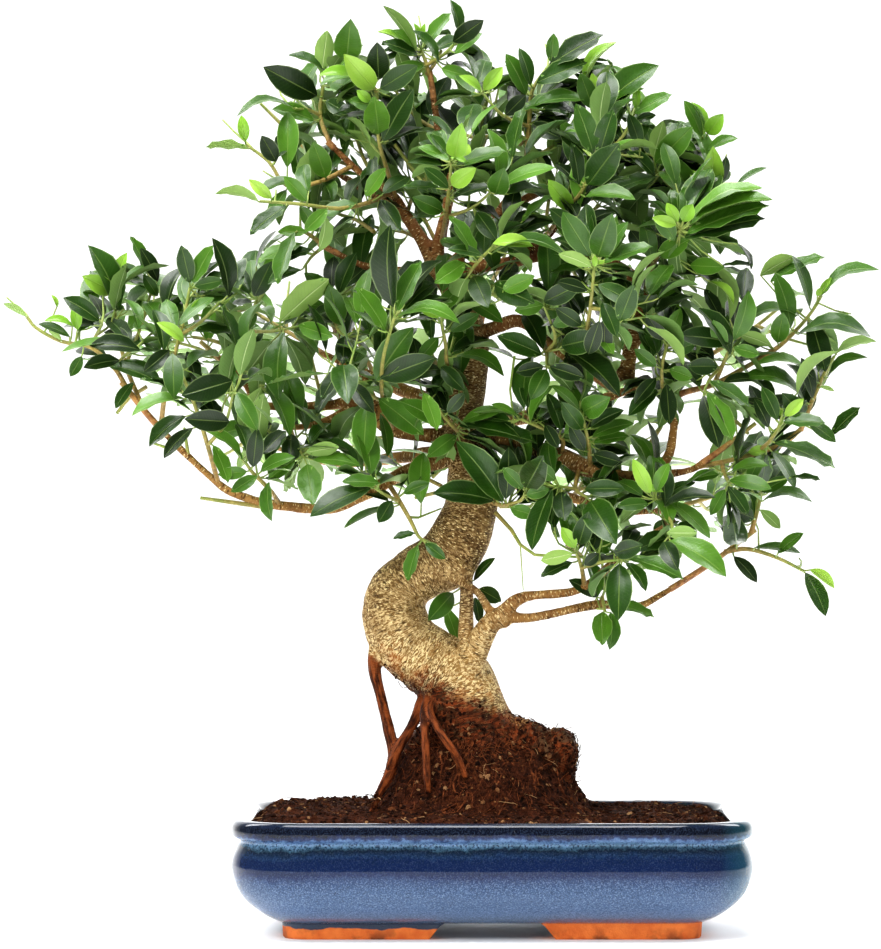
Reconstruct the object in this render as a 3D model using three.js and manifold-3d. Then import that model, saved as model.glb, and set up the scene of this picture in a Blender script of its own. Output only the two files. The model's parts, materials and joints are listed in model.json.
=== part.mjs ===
// Chinese banyan bonsai in a glazed pot, in millimetres, +Z up.
// The origin is on the surface that the pot's feet stand on, under the middle of the plant's spread.
import * as THREE from 'three';
import { mergeVertices } from 'three/addons/utils/BufferGeometryUtils.js';
import Module from 'manifold-3d';

const wasm = await Module();
wasm.setup();

// Driving dimensions

// Clearance kept between pieces that touch
const GAP = 0.3;

// Pot: a rounded rectangle, 350 x 250 over the rolled rim
const POT = { halfX: 175, halfY: 125, corner: 52, wall: 15, floor: 9 };
const FOOT_HEIGHT = 11;
const RIM_TOP = 79.5;
// Outside profile from the underside to the rim, then the inside: [inset from the widest outline, height]
const POT_PROFILE = [
  [33, FOOT_HEIGHT], [15, 20.5], [5, 31], [0, 46], [1.5, 56], [4.5, 64.5],
  [0, 69], [0, 75.5], [5, RIM_TOP], [POT.wall - 3, 78.5], [POT.wall, 74],
  [POT.wall + 2, 45], [26, 27], [42, FOOT_HEIGHT + POT.floor],
];
const FOOT = { inset: 35, width: 20, gapX: 34, gapY: 32, splay: 9 };
const DRAIN_HOLE = { radius: 10, x: 70 };
const SCREEN = { side: 34, thickness: 1.2, cells: 2, bar: 3 };

// Soil: a bed that falls a little to the right and at the pot's wall, with the root ball standing out of it
const SOIL = { bed: 82.5, fall: 0.018, edge: 73, edgeWidth: 30, ball: 45, ballX: 66, ballY: 58, centreX: -7 };

// Branches and leaves are written as they look from this point in front of the plant: [x, z] on the
// plane through the trunk, with y, the real distance behind that plane
const EYE = new THREE.Vector3(-34.6, -3400, 310);

// Trunk and limbs: rows of [x, z, y, radius]
const TRUNK = [
  [-8, 96, 2, 27], [-11, 120, 0, 32], [-17, 145, -1, 29.5], [-23, 168, -1, 26], [-41, 182, 0, 23.3],
  [-58, 195, 2, 22.6], [-66, 215, 4, 21.9], [-61, 232, 4, 20.5], [-48, 243, 2, 20.2],
  [-31.5, 252, 0, 21], [-21, 266.5, -2, 20.2], [-15, 282, -2, 19.2], [-13, 296, -1, 18.5],
  [-14, 320, 1, 15.9], [-19, 347, 2, 14.7], [-21, 364, 3, 17],
  [-19, 381, 3, 16.4], [-17, 395, 2, 15], [-14, 405, 1, 12.3], [-21, 424, 0, 8.4],
  [-38, 455, 0, 6.8],
];
const ROOTS = [
  [[0, 126, -2, 22], [28, 121, -6, 18], [42, 109, -8, 16.5], [40, 76, -4, 9]],
  [[-20, 128, 8, 20], [-42, 114, 30, 12], [-60, 78, 52, 5]],
  [[0, 126, 12, 20], [20, 112, 34, 12], [38, 76, 54, 5]],
  [[-28, 134, -2, 17], [-48, 122, -4, 12], [-68, 86, 2, 6]],
  [[-10, 126, -12, 18], [-3, 113, -32, 10.5], [10, 76, -52, 4]],
];
// Slim roots that hang from the trunk and run down over the root ball
const AIR_ROOTS = [
  [[-78, 192, 0, 6], [-80, 178, -1, 5], [-70, 135, -18, 3.8], [-67, 118, -26, 4], [-70, 104, -32, 3.6],
    [-82, 78, -42, 2.4]],
  [[-42, 158, -12, 4], [-46, 145, -24, 3.4], [-45, 128, -40, 3], [-43, 92, -54, 2.4]],
  [[-38, 156, -14, 4], [-41, 146, -27, 3], [-23, 117, -52, 2.6], [-17, 102, -54, 2.2]],
  [[-46, 156, -4, 5], [-53, 140, -16, 4], [-69, 110, -32, 3.6]],
];
const LIMBS = [
  // Lower front of the trunk: a column grown onto it, with a slanting brace
  [[-14, 180, -20, 8.5], [-17, 197, -17, 6], [-17, 214, -15, 5], [-17, 234, -14, 5.5],
    [-20, 246, -10, 6]],
  [[-30, 240, -16, 3.4], [-11, 231, -20, 2.9], [-1, 217, -24, 3], [6, 212, -26, 4]],
  // Low right limb and its two arms
  [[-15, 178, -16, 9.5], [-3, 204, -25, 7.2], [22, 226, -29, 3.8], [54, 229.5, -34, 3.1],
    [68, 236, -38, 3], [105, 265, -52, 2.4], [126, 279, -56, 1.8]],
  [[6, 213, -26, 4.6], [27, 212, -24, 3.4], [76, 221, -14, 3.6], [100, 220, -8, 2.8], [150, 249, 4, 2],
    [181, 272, 10, 1.5]],
  // Low left limb
  [[-16, 326, -4, 8], [-59, 311, -16, 5.2], [-110, 287, -28, 4.1], [-146, 289, -37, 3.4],
    [-170, 295, -42, 3], [-187, 304, -45, 2.8], [-226, 341, -42, 2.4], [-253, 373, -35, 1.9]],
  // Middle left limb, its lower, upper and far arms
  [[-18, 334, 4, 7], [-66, 340, 16, 5], [-94, 360, 26, 4.2], [-114, 357, 34, 3.5], [-157, 358, 44, 2.8],
    [-171, 376, 40, 2.4], [-199, 401, 30, 1.5]],
  [[-92, 359, 25, 3.4], [-110, 348, 16, 2.8], [-127, 343, 8, 2.2], [-142, 342, 2, 1.6]],
  [[-64, 340, 15, 4], [-78, 356, 22, 3.2], [-93, 395, 36, 2.3], [-108, 408, 38, 1.7]],
  // Middle right limb, its long tip, rising arm and second tip
  [[-10, 336, -2, 8], [13, 331.5, -14, 5.4], [48, 323, -26, 5.4], [66, 314, -31, 6], [92, 309, -35, 4],
    [132, 312, -36, 2.6], [149, 321, -36, 2.2], [181, 345, -32, 1.3]],
  [[108, 309, -36, 3.4], [121, 322, -34, 3.6], [127, 363, -26, 2.4], [153, 372, -34, 1.8],
    [184, 389, -36, 1.5]],
  [[140, 315, -36, 1.9], [165, 320, -33, 1.6], [200, 331, -26, 1.8], [213, 342, -24, 1.6]],
  // Upper right limb
  [[-15, 404, -2, 8], [4, 411, -12, 5.4], [20, 415, -18, 4.4], [85, 366, -42, 1.6]],
  // Leader and its forks
  [[-38, 453, 0, 6.4], [-47, 470, 2, 4.4], [-67, 501, 4, 3.4], [-90, 517, 2, 2.8], [-112, 538, 0, 2.2]],
  [[-37, 450, 0, 6.6], [-36, 468, -3, 4.4], [-29, 505, -4, 3.4], [-42, 586, 0, 2]],
  [[-36, 446, -1, 6], [-24, 457, -4, 4.6], [9, 494, -8, 3.2], [25, 526, -10, 2.4]],
  [[-30, 444, -1, 6], [-10, 452, -8, 4.6], [14, 456, -10, 4], [38, 473, -14, 3.2], [57, 497, -16, 2.2]],
  [[-38, 450, 0, 5], [-60, 449, 6, 3.6], [-87, 453, 6, 2.8], [-118, 468, 0, 2]],
  // Heavy branch that bends down on the right and ends in a sawn knob
  [[14, 455, -8, 4], [50, 462, -6, 4], [84, 454, -4, 4.2], [104, 434, -6, 4.8], [93, 377, -9, 6]],
  // Limbs to the back
  [[-16, 328, 4, 7], [-60, 322, 52, 4.4], [-105, 318, 84, 3.2], [-140, 326, 104, 2.2]],
  [[-20, 352, 6, 7], [-68, 371, 54, 4.2], [-118, 394, 84, 2.4]],
  [[-20, 376, 6, 7], [-12, 398, 58, 4.2], [-5, 424, 98, 2.6]],
  [[-16, 345, 6, 7], [40, 352, 50, 4.4], [95, 368, 78, 3.2], [140, 385, 88, 2.2]],
  [[-13, 312, 6, 7], [35, 300, 48, 4.2], [85, 286, 72, 3], [120, 285, 84, 2.2]],
  [[-35, 470, 0, 4], [-26, 505, 42, 3], [-15, 529, 68, 2.2]],
  [[-58, 487, 4, 3.6], [-90, 507, 44, 2.8], [-118, 524, 64, 2]],
  [[4, 488, -5, 3.6], [48, 511, 42, 2.8], [89, 525, 64, 2]],
];
const TRUNK_SIDES = 8;
const ROOT_SIDES = 5;
const LIMB_SIDES = 5;
const THIN_LIMB_SIDES = 4;
// Limbs that start thinner than this have fewer sides
const THIN_LIMB = 7.5;

// Leafy stems. stems: twigs as rows of [x, z, y], the first starting in the wood. leaves: blades as
// [base x, base z, tip x, tip z, seen width, kind]; the kind is D dark, M middle green, G glossed by
// the light, P with its pale underside to the front or L young and lime, then a where it arches,
// b where its tip leans back. fill: spacing of blades set by rule along the twigs, 0 for none.
const SPRAYS = [
  { name: 'spray_left_tip',
    stems: [[[-250, 370, -36], [-258, 383, -34], [-274, 397, -32], [-294, 401, -32], [-318, 418, -34]],
      [[-258, 383, -34], [-241, 398, -54]], [[-274, 397, -32], [-266, 413, -42]]],
    leaves: [[-318, 418, -334, 427, 5, 'P'], [-288, 404, -310, 413, 6, 'G'],
      [-283, 409, -285, 427, 8, 'L'], [-268, 415, -293, 431, 12, 'D'], [-240, 395, -275, 398, 12, 'D'],
      [-254, 388, -279, 383, 10, 'D'], [-262, 384, -225, 371, 12, 'D'], [-280, 391, -288, 377, 8, 'G'],
      [-249, 400, -294, 394, 5, 'M']] },
  { name: 'spray_left_rise',
    stems: [[[-240, 360, -38], [-250, 385, -20], [-259, 434, -10]], [[-250, 385, -20], [-240, 410, -6],
      [-231, 441, 2]]],
    leaves: [[-260, 436, -280, 446, 13, 'L'], [-258, 438, -249, 462, 9, 'L'],
      [-255, 422, -276, 467, 16, 'G'], [-235, 447, -247, 473, 8, 'M'], [-228, 442, -240, 465, 10, 'D'],
      [-228, 432, -238, 447, 8, 'G'], [-245, 373, -257, 355, 8, 'D']] },
  { name: 'spray_left_middle',
    stems: [[[-226, 342, -42], [-222, 372, -62], [-213, 405, -64], [-206, 438, -62]], [[-213, 405, -64],
      [-186, 428, -67]]],
    leaves: [[-206, 441, -212, 467, 12, 'G'], [-204, 441, -190, 467, 11, 'M'],
      [-203, 439, -183, 443, 9, 'D'], [-214, 412, -189, 431, 8, 'M'], [-210, 401, -229, 414, 8, 'L'],
      [-205, 420, -198, 431, 6, 'L'], [-180, 432, -191, 472, 13, 'D'], [-220, 395, -238, 380, 11, 'D']] },
  { name: 'spray_left_inner',
    stems: [[[-187, 305, -45], [-194, 330, -74], [-203, 358, -88], [-215, 386, -91]], [[-194, 330, -74],
      [-182, 345, -94], [-176, 368, -105]]],
    leaves: [[-210, 362, -246, 350, 8, 'M'], [-209, 350, -234, 329, 11, 'D'],
      [-204, 342, -224, 321, 9, 'D'], [-179, 346, -210, 348, 15, 'D'], [-177, 374, -212, 364, 18, 'D'],
      [-218, 393, -217, 362, 14, 'D'], [-190, 330, -180, 304, 10, 'M'], [-174, 366, -160, 340, 13, 'M']] },
  { name: 'spray_left_arm',
    stems: [[[-158, 360, 43], [-166, 385, 26], [-168, 408, 10], [-160, 430, 2]], [[-168, 408, 10],
      [-133, 411, -18]], [[-166, 385, 26], [-157, 368, -16]]],
    leaves: [[-162, 432, -150, 456, 14, 'D'], [-165, 433, -189, 440, 6, 'G'],
      [-155, 436, -138, 466, 9, 'M'], [-160, 420, -176, 406, 10, 'G'], [-145, 414, -111, 444, 17, 'P'],
      [-142, 407, -145, 361, 17, 'G'], [-132, 412, -108, 404, 12, 'M'], [-157, 370, -171, 342, 15, 'P'],
      [-155, 372, -138, 336, 12, 'M']] },
  { name: 'spray_left_lower_arm',
    stems: [[[-138, 342, 3], [-134, 332, -15], [-128, 322, -32]], [[-134, 332, -15], [-156, 342, -18]]],
    leaves: [[-137, 338, -137, 312, 13, 'D'], [-134, 320, -153, 306, 10, 'M'],
      [-126, 317, -122, 289, 17, 'M'], [-122, 320, -89, 316, 9, 'M'], [-127, 325, -104, 329, 10, 'P'],
      [-150, 344, -172, 356, 10, 'D'], [-158, 344, -190, 336, 12, 'Mb']] },
  { name: 'spray_left_low',
    stems: [[[-145, 290, -38], [-152, 300, -58], [-168, 318, -77]]],
    leaves: [[-163, 315, -160, 342, 12, 'D'], [-167, 312, -187, 310, 9, 'M'],
      [-160, 309, -178, 298, 9, 'M'], [-158, 312, -134, 322, 9, 'M'], [-152, 305, -150, 278, 9, 'M'],
      [-170, 320, -196, 340, 7, 'M']] },
  { name: 'spray_left_hanging',
    stems: [[[-70, 303, -19], [-63, 292, -43], [-45, 264, -54]], [[-63, 292, -43], [-80, 301, -71]]],
    leaves: [[-82, 301, -124, 281, 14, 'D'], [-76, 304, -102, 305, 9, 'M'], [-66, 288, -101, 273, 5, 'G'],
      [-68, 292, -77, 277, 11, 'D'], [-45, 263, -31, 252, 8, 'D'], [-50, 262, -57, 237, 9, 'M'],
      [-52, 270, -67, 266, 5, 'D'], [-60, 297, -42, 304, 8, 'M']] },
  { name: 'spray_left_front',
    stems: [[[-66, 341, 14], [-74, 360, -25], [-74, 388, -84], [-66, 418, -112]], [[-74, 360, -25],
      [-88, 368, -56], [-100, 384, -73]]],
    leaves: [[-84, 360, -87, 320, 17, 'G'], [-76, 352, -71, 322, 8, 'M'], [-77, 362, -46, 337, 17, 'M'],
      [-95, 372, -80, 352, 12, 'D'], [-101, 385, -98, 358, 19, 'G'], [-103, 383, -116, 361, 9, 'D'],
      [-79, 374, -53, 411, 19, 'G'], [-76, 376, -38, 390, 18, 'D'], [-67, 424, -69, 481, 18, 'D'],
      [-64, 422, -47, 456, 12, 'M'], [-64, 418, -21, 413, 9, 'La'], [-72, 408, -92, 438, 12, 'M']] },
  { name: 'spray_left_crown_low',
    stems: [[[-106, 407, 37], [-110, 420, 20], [-106, 432, 2]], [[-110, 420, 20], [-98, 404, -14]]],
    leaves: [[-103, 412, -111, 440, 15, 'G'], [-100, 405, -102, 385, 12, 'D'],
      [-108, 432, -128, 448, 11, 'M'], [-104, 434, -92, 462, 12, 'D'], [-112, 424, -134, 428, 10, 'M']] },
  { name: 'spray_left_crown_dark',
    stems: [[[-114, 466, 1], [-132, 478, -22]], [[-114, 466, 1], [-128, 452, -20]]],
    leaves: [[-118, 476, -131, 494, 10, 'M'], [-126, 476, -146, 476, 8, 'M'],
      [-134, 476, -146, 440, 11, 'M'], [-122, 464, -148, 455, 8, 'G'], [-130, 450, -153, 440, 8, 'D'],
      [-128, 468, -160, 455, 8, 'M']] },
  { name: 'spray_crown_left_top',
    stems: [[[-65, 498, 4], [-71, 518, -24], [-77, 540, -41], [-78, 572, -52]], [[-78, 572, -52],
      [-98, 592, -60]]],
    leaves: [[-99, 595, -96, 622, 19, 'M'], [-80, 574, -101, 598, 16, 'L'], [-77, 580, -78, 606, 16, 'D'],
      [-76, 574, -50, 590, 15, 'G'], [-74, 538, -53, 574, 17, 'D'], [-77, 543, -80, 569, 18, 'M'],
      [-90, 580, -118, 583, 7, 'L'], [-73, 560, -98, 566, 10, 'M']] },
  { name: 'spray_crown_left',
    stems: [[[-110, 536, 0], [-117, 556, 8], [-114, 580, 8]], [[-117, 556, 8], [-134, 560, -8]]],
    leaves: [[-116, 584, -112, 614, 13, 'P'], [-119, 569, -156, 589, 20, 'D'],
      [-112, 584, -139, 597, 6, 'D'], [-121, 552, -150, 560, 11, 'M'], [-135, 561, -174, 555, 5, 'Ga'],
      [-112, 576, -92, 600, 10, 'M'], [-113, 566, -96, 556, 11, 'D']] },
  { name: 'spray_crown_left_shoot',
    stems: [[[-95, 521, 1], [-118, 510, -20], [-140, 508, -30], [-168, 536, -38]]],
    leaves: [[-168, 538, -171, 556, 8, 'L'], [-166, 533, -196, 534, 6, 'P'],
      [-147, 524, -157, 542, 12, 'D'], [-131, 510, -160, 502, 7, 'G'], [-113, 513, -122, 538, 15, 'M'],
      [-140, 505, -152, 484, 9, 'M']] },
  { name: 'spray_crown_left_out',
    stems: [[[-68, 503, 3], [-84, 496, -43], [-104, 492, -71], [-130, 495, -88], [-158, 497, -96]]],
    leaves: [[-159, 497, -189, 502, 7, 'P'], [-140, 494, -165, 474, 10, 'G'],
      [-92, 496, -118, 486, 9, 'G'], [-86, 500, -72, 520, 10, 'M'], [-112, 492, -128, 476, 10, 'M'],
      [-126, 497, -142, 514, 10, 'M'], [-76, 498, -62, 476, 13, 'D'], [-150, 499, -166, 512, 8, 'L']] },
  { name: 'spray_crown_apex',
    stems: [[[-42, 582, 0], [-44, 590, -2], [-48, 601, -2]], [[-44, 590, -2], [-24, 606, -14]]],
    leaves: [[-51, 600, -74, 631, 8, 'P'], [-50, 597, -74, 606, 9, 'D'], [-45, 604, -27, 626, 9, 'M'],
      [-22, 612, -28, 635, 8, 'G'], [-26, 606, -5, 621, 13, 'D'], [-25, 598, -6, 612, 8, 'M'],
      [-36, 592, -54, 614, 7, 'D'], [-46, 590, -66, 588, 9, 'M'], [-34, 588, -14, 582, 10, 'M']] },
  { name: 'spray_crown_right_top',
    stems: [[[24, 523, -10], [26, 548, -18], [28, 572, -22], [38, 588, -22]], [[26, 548, -18],
      [8, 556, -30], [-6, 571, -36]]],
    leaves: [[-7, 572, -22, 583, 6, 'L'], [-5, 573, 8, 589, 10, 'L'], [10, 556, 24, 570, 11, 'D'],
      [21, 560, 51, 568, 9, 'G'], [28, 562, 64, 566, 9, 'M'], [24, 570, 10, 598, 12, 'G'],
      [27, 576, 19, 602, 9, 'G'], [31, 578, 66, 592, 14, 'D'], [40, 590, 77, 611, 14, 'D'],
      [41, 592, 43, 612, 9, 'G'], [22, 540, -3, 532, 11, 'M'], [28, 550, 48, 540, 11, 'D']] },
  { name: 'spray_crown_right',
    stems: [[[55, 494, -16], [62, 524, -16], [72, 556, -20], [67, 568, -22]], [[62, 524, -16],
      [78, 529, -24], [104, 527, -32]], [[78, 529, -24], [97, 555, -30]]],
    leaves: [[70, 560, 61, 585, 13, 'L'], [74, 563, 69, 585, 9, 'L'], [76, 560, 82, 591, 8, 'P'],
      [77, 562, 115, 590, 18, 'D'], [76, 556, 105, 574, 7, 'L'], [64, 575, 86, 606, 6, 'L'],
      [98, 557, 124, 570, 10, 'M'], [99, 560, 100, 576, 6, 'L'], [99, 552, 113, 556, 6, 'D'],
      [102, 533, 94, 557, 10, 'D'], [66, 535, 88, 530, 11, 'D'], [62, 530, 48, 552, 13, 'M']] },
  { name: 'spray_right_shoulder',
    stems: [[[103, 440, -4], [116, 470, 4], [132, 498, 8], [146, 540, 6]],
      [[132, 498, 8], [144, 500, -6], [152, 506, -12]], [[132, 498, 8], [113, 518, -16]]],
    leaves: [[144, 541, 132, 566, 11, 'M'], [148, 543, 159, 557, 12, 'L'], [141, 532, 122, 540, 8, 'M'],
      [148, 532, 169, 540, 7, 'M'], [141, 524, 129, 532, 8, 'D'], [112, 523, 138, 548, 17, 'M'],
      [111, 526, 118, 552, 11, 'P'], [152, 508, 152, 535, 15, 'L'], [156, 509, 161, 528, 7, 'D'],
      [140, 498, 120, 530, 17, 'L'], [134, 494, 116, 525, 10, 'D'], [112, 514, 93, 531, 9, 'D'],
      [114, 514, 74, 500, 10, 'D'], [147, 504, 136, 519, 8, 'L']] },
  { name: 'spray_right_whorl',
    stems: [[[104, 436, -7], [112, 456, -45], [130, 478, -81]]],
    leaves: [[127, 481, 110, 486, 8, 'L'], [128, 483, 120, 496, 8, 'L'], [131, 483, 138, 495, 10, 'L'],
      [134, 475, 191, 494, 13, 'L'], [135, 480, 193, 498, 9, 'M'], [136, 484, 186, 506, 8, 'L'],
      [132, 472, 188, 485, 15, 'D'], [126, 470, 112, 492, 12, 'M'], [114, 460, 136, 471, 13, 'M'],
      [110, 456, 104, 484, 12, 'G'], [118, 464, 144, 452, 11, 'Mb']] },
  { name: 'spray_centre_right',
    stems: [[[58, 385, -32], [64, 402, -80], [68, 424, -110], [71, 455, -122]], [[68, 424, -110],
      [80, 422, -122], [88, 417, -124]]],
    leaves: [[68, 459, 49, 490, 16, 'G'], [73, 459, 83, 489, 18, 'G'], [78, 457, 94, 483, 9, 'G'],
      [77, 455, 111, 466, 9, 'G'], [69, 452, 46, 461, 9, 'P'], [73, 440, 99, 426, 12, 'G'],
      [88, 415, 98, 440, 14, 'G'], [76, 428, 86, 404, 11, 'D'], [66, 436, 45, 442, 9, 'D'],
      [72, 410, 84, 392, 9, 'M'], [62, 412, 44, 424, 11, 'D']] },
  { name: 'spray_crown_front_right',
    stems: [[[36, 471, -13], [50, 490, -59], [62, 504, -84], [71, 526, -96]], [[50, 490, -59],
      [60, 478, -98]]],
    leaves: [[70, 529, 58, 564, 15, 'G'], [74, 528, 84, 560, 14, 'D'], [66, 508, 88, 537, 20, 'G'],
      [60, 508, 55, 537, 10, 'D'], [64, 500, 99, 498, 9, 'M'], [62, 478, 90, 470, 12, 'D'],
      [56, 490, 39, 512, 12, 'L'], [58, 492, 71, 510, 10, 'D'], [58, 478, 40, 492, 12, 'D']] },
  { name: 'spray_crown_front',
    stems: [[[-34, 468, -3], [-31, 486, -58], [-29, 503, -91], [-27, 524, -105]], [[-31, 486, -58],
      [-14, 492, -80], [1, 504, -91]]],
    leaves: [[-25, 527, -20, 551, 14, 'L'], [-28, 525, -50, 534, 7, 'L'], [-29, 528, -42, 543, 7, 'G'],
      [-24, 522, 11, 531, 8, 'L'], [5, 510, -3, 547, 10, 'M'], [-29, 506, -46, 520, 9, 'G'],
      [-27, 508, -10, 520, 12, 'L'], [3, 502, 9, 520, 15, 'G'], [-26, 500, 0, 507, 7, 'G'],
      [-33, 490, -54, 500, 12, 'M'], [-10, 490, 4, 470, 12, 'D'], [4, 506, 44, 520, 9, 'M']] },
  { name: 'spray_centre_front',
    stems: [[[-22, 421, -8], [-20, 438, -56], [-12, 452, -98], [0, 465, -112]], [[-20, 438, -56],
      [8, 432, -95]]],
    leaves: [[1, 468, 29, 466, 9, 'L'], [0, 461, 51, 460, 7, 'Ga'], [-6, 460, -30, 464, 7, 'G'],
      [-10, 457, -29, 487, 9, 'M'], [-18, 455, -39, 441, 13, 'M'], [-12, 446, -2, 424, 15, 'D'],
      [2, 440, 30, 427, 16, 'D'], [-18, 430, 8, 414, 11, 'M'], [-22, 438, -36, 422, 11, 'M'],
      [8, 436, 30, 446, 12, 'M']] },
  { name: 'spray_centre_low',
    stems: [[[34, 405, -22], [38, 394, -47], [38, 384, -70]], [[38, 394, -47], [44, 404, -67],
      [36, 426, -84]], [[38, 394, -47], [47, 396, -64]]],
    leaves: [[35, 392, 4, 405, 14, 'D'], [36, 384, 17, 380, 10, 'D'], [38, 382, 27, 361, 13, 'D'],
      [40, 384, 64, 376, 11, 'D'], [50, 396, 88, 363, 15, 'D'], [48, 398, 76, 404, 17, 'D'],
      [36, 426, 16, 422, 10, 'M'], [36, 428, 61, 440, 14, 'D'], [42, 412, 60, 420, 10, 'M']] },
  { name: 'spray_trunk_shoot',
    stems: [[[-22, 378, -12], [-30, 386, -32], [-34, 414, -57]]],
    leaves: [[-24, 391, 9, 377, 9, 'Ma'], [-34, 384, -18, 367, 11, 'D'], [-36, 404, -50, 388, 10, 'M'],
      [-28, 408, -8, 420, 10, 'G'], [-34, 418, -52, 430, 10, 'L']] },
  { name: 'spray_trunk_front',
    stems: [[[-17, 336, -13], [-31, 348, -54], [-42, 362, -62]]],
    leaves: [[-46, 366, -37, 340, 11, 'M'], [-30, 352, -18, 366, 9, 'D'], [-32, 344, -62, 360, 13, 'G'],
      [-22, 344, 32, 331, 12, 'D'], [-24, 337, -44, 322, 12, 'M'], [-20, 346, 8, 354, 9, 'M']] },
  { name: 'spray_trunk_low',
    stems: [[[-3, 293, -15], [8, 289, -42], [20, 292, -58], [24, 299, -64]]],
    leaves: [[8, 291, -24, 333, 20, 'G'], [10, 293, 12, 329, 15, 'D'], [24, 301, 36, 323, 19, 'D'],
      [13, 287, 30, 282, 10, 'M'], [22, 300, 8, 315, 9, 'M'], [2, 292, -40, 297, 16, 'D'],
      [24, 296, 40, 300, 9, 'M']] },
  { name: 'spray_right_upright',
    stems: [[[68, 315, -33], [67, 330, -54], [63, 349, -65]]],
    leaves: [[63, 353, 82, 363, 16, 'M'], [61, 353, 41, 371, 7, 'M'], [62, 341, 48, 360, 12, 'D'],
      [68, 342, 91, 354, 10, 'D'], [69, 336, 98, 345, 9, 'M'], [70, 332, 95, 336, 8, 'M'],
      [64, 326, 54, 344, 10, 'D'], [70, 324, 90, 318, 10, 'D']] },
  { name: 'spray_right_slender',
    stems: [[[47, 323, -27], [49, 334, -42], [36, 341, -54], [20, 348, -59]]],
    leaves: [[18, 350, 0, 358, 5, 'M'], [27, 346, 43, 371, 7, 'M'], [48, 340, 38, 366, 10, 'D'],
      [37, 344, 46, 328, 9, 'D'], [50, 338, 66, 352, 9, 'M']] },
  { name: 'spray_right_arm_tuft',
    stems: [[[125, 350, -28], [118, 366, -45], [117, 384, -53], [121, 400, -53]]],
    leaves: [[114, 368, 94, 350, 11, 'G'], [120, 372, 122, 344, 12, 'D'], [113, 376, 98, 358, 10, 'D'],
      [122, 382, 138, 376, 10, 'M'], [113, 384, 98, 396, 9, 'M'], [122, 402, 130, 424, 10, 'M'],
      [118, 402, 106, 420, 11, 'D'], [124, 394, 140, 400, 10, 'M']] },
  { name: 'spray_right_reach',
    stems: [[[152, 371, -34], [158, 384, -51], [164, 398, -59]], [[158, 384, -51], [146, 368, -70]]],
    leaves: [[148, 366, 165, 333, 13, 'M'], [145, 364, 156, 328, 16, 'D'], [150, 374, 177, 356, 9, 'G'],
      [164, 400, 128, 405, 14, 'D'], [166, 397, 184, 392, 9, 'M'], [160, 396, 152, 416, 11, 'M'],
      [155, 384, 134, 384, 12, 'D'], [166, 402, 176, 436, 13, 'M'], [164, 392, 142, 424, 12, 'D']] },
  { name: 'spray_right_shoot_high',
    stems: [[[181, 387, -36], [206, 406, -28], [224, 428, -24]]],
    leaves: [[218, 424, 206, 460, 8, 'D'], [226, 432, 266, 450, 8, 'La'], [225, 433, 233, 445, 6, 'L'],
      [212, 418, 173, 414, 7, 'Ma'], [196, 400, 200, 421, 13, 'G'], [192, 398, 170, 406, 9, 'P'],
      [210, 406, 260, 404, 12, 'Ga'], [219, 416, 229, 380, 16, 'D'], [205, 410, 194, 448, 13, 'M']] },
  { name: 'spray_right_shoot_low',
    stems: [[[212, 340, -24], [235, 391, -28]]],
    leaves: [[236, 393, 264, 401, 7, 'P'], [230, 376, 258, 390, 6, 'Ma'], [220, 362, 212, 390, 9, 'D'],
      [222, 374, 180, 385, 5, 'Ma'], [215, 360, 170, 376, 10, 'Ga'], [214, 350, 199, 366, 14, 'D'],
      [219, 350, 254, 357, 10, 'D'], [217, 346, 236, 332, 9, 'M']] },
  { name: 'spray_right_fork',
    stems: [[[180, 324, -30], [190, 332, -52], [198, 344, -66]]],
    leaves: [[196, 347, 185, 370, 10, 'D'], [190, 342, 180, 362, 9, 'D'], [200, 346, 229, 345, 9, 'G'],
      [201, 350, 214, 362, 8, 'L'], [194, 332, 236, 314, 10, 'D'], [186, 324, 176, 304, 9, 'G'],
      [192, 326, 208, 300, 8, 'G']] },
  { name: 'spray_right_fork_low',
    stems: [[[158, 318, -34], [163, 304, -62]]],
    leaves: [[163, 306, 192, 300, 10, 'M'], [156, 310, 136, 306, 8, 'M'], [162, 302, 176, 282, 9, 'D'],
      [160, 300, 150, 282, 9, 'M'], [164, 312, 190, 316, 7, 'M']] },
  { name: 'spray_low_right_tip',
    stems: [[[120, 275, -55], [118, 286, -73], [112, 294, -84]], [[118, 286, -73], [124, 276, -93],
      [122, 268, -104]]],
    leaves: [[109, 297, 97, 321, 10, 'L'], [118, 288, 154, 294, 8, 'D'], [120, 270, 141, 270, 10, 'P'],
      [122, 265, 161, 240, 16, 'M'], [118, 264, 128, 244, 13, 'D'], [122, 292, 150, 266, 10, 'M'],
      [108, 290, 86, 288, 9, 'M'], [113, 298, 122, 318, 9, 'M']] },
  { name: 'spray_low_right_end',
    stems: [[[178, 270, 9], [185, 296, 6]]],
    leaves: [[183, 300, 164, 318, 9, 'D'], [184, 286, 198, 273, 8, 'P'], [186, 292, 220, 291, 7, 'Ma'],
      [185, 298, 204, 308, 9, 'M'], [180, 280, 165, 286, 12, 'D']] },
  { name: 'spray_low_right_pendant',
    stems: [[[160, 257, 6], [176, 259, -6], [214, 244, -14]]],
    leaves: [[168, 262, 165, 286, 17, 'D'], [166, 254, 182, 236, 9, 'D'], [180, 260, 212, 256, 6, 'M'],
      [215, 243, 229, 213, 12, 'D'], [218, 245, 235, 232, 7, 'L'], [196, 256, 214, 270, 8, 'M']] },
  { name: 'spray_low_right_front',
    stems: [[[64, 234, -37], [62, 246, -61], [58, 258, -72]], [[62, 246, -61], [90, 252, -86]]],
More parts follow.
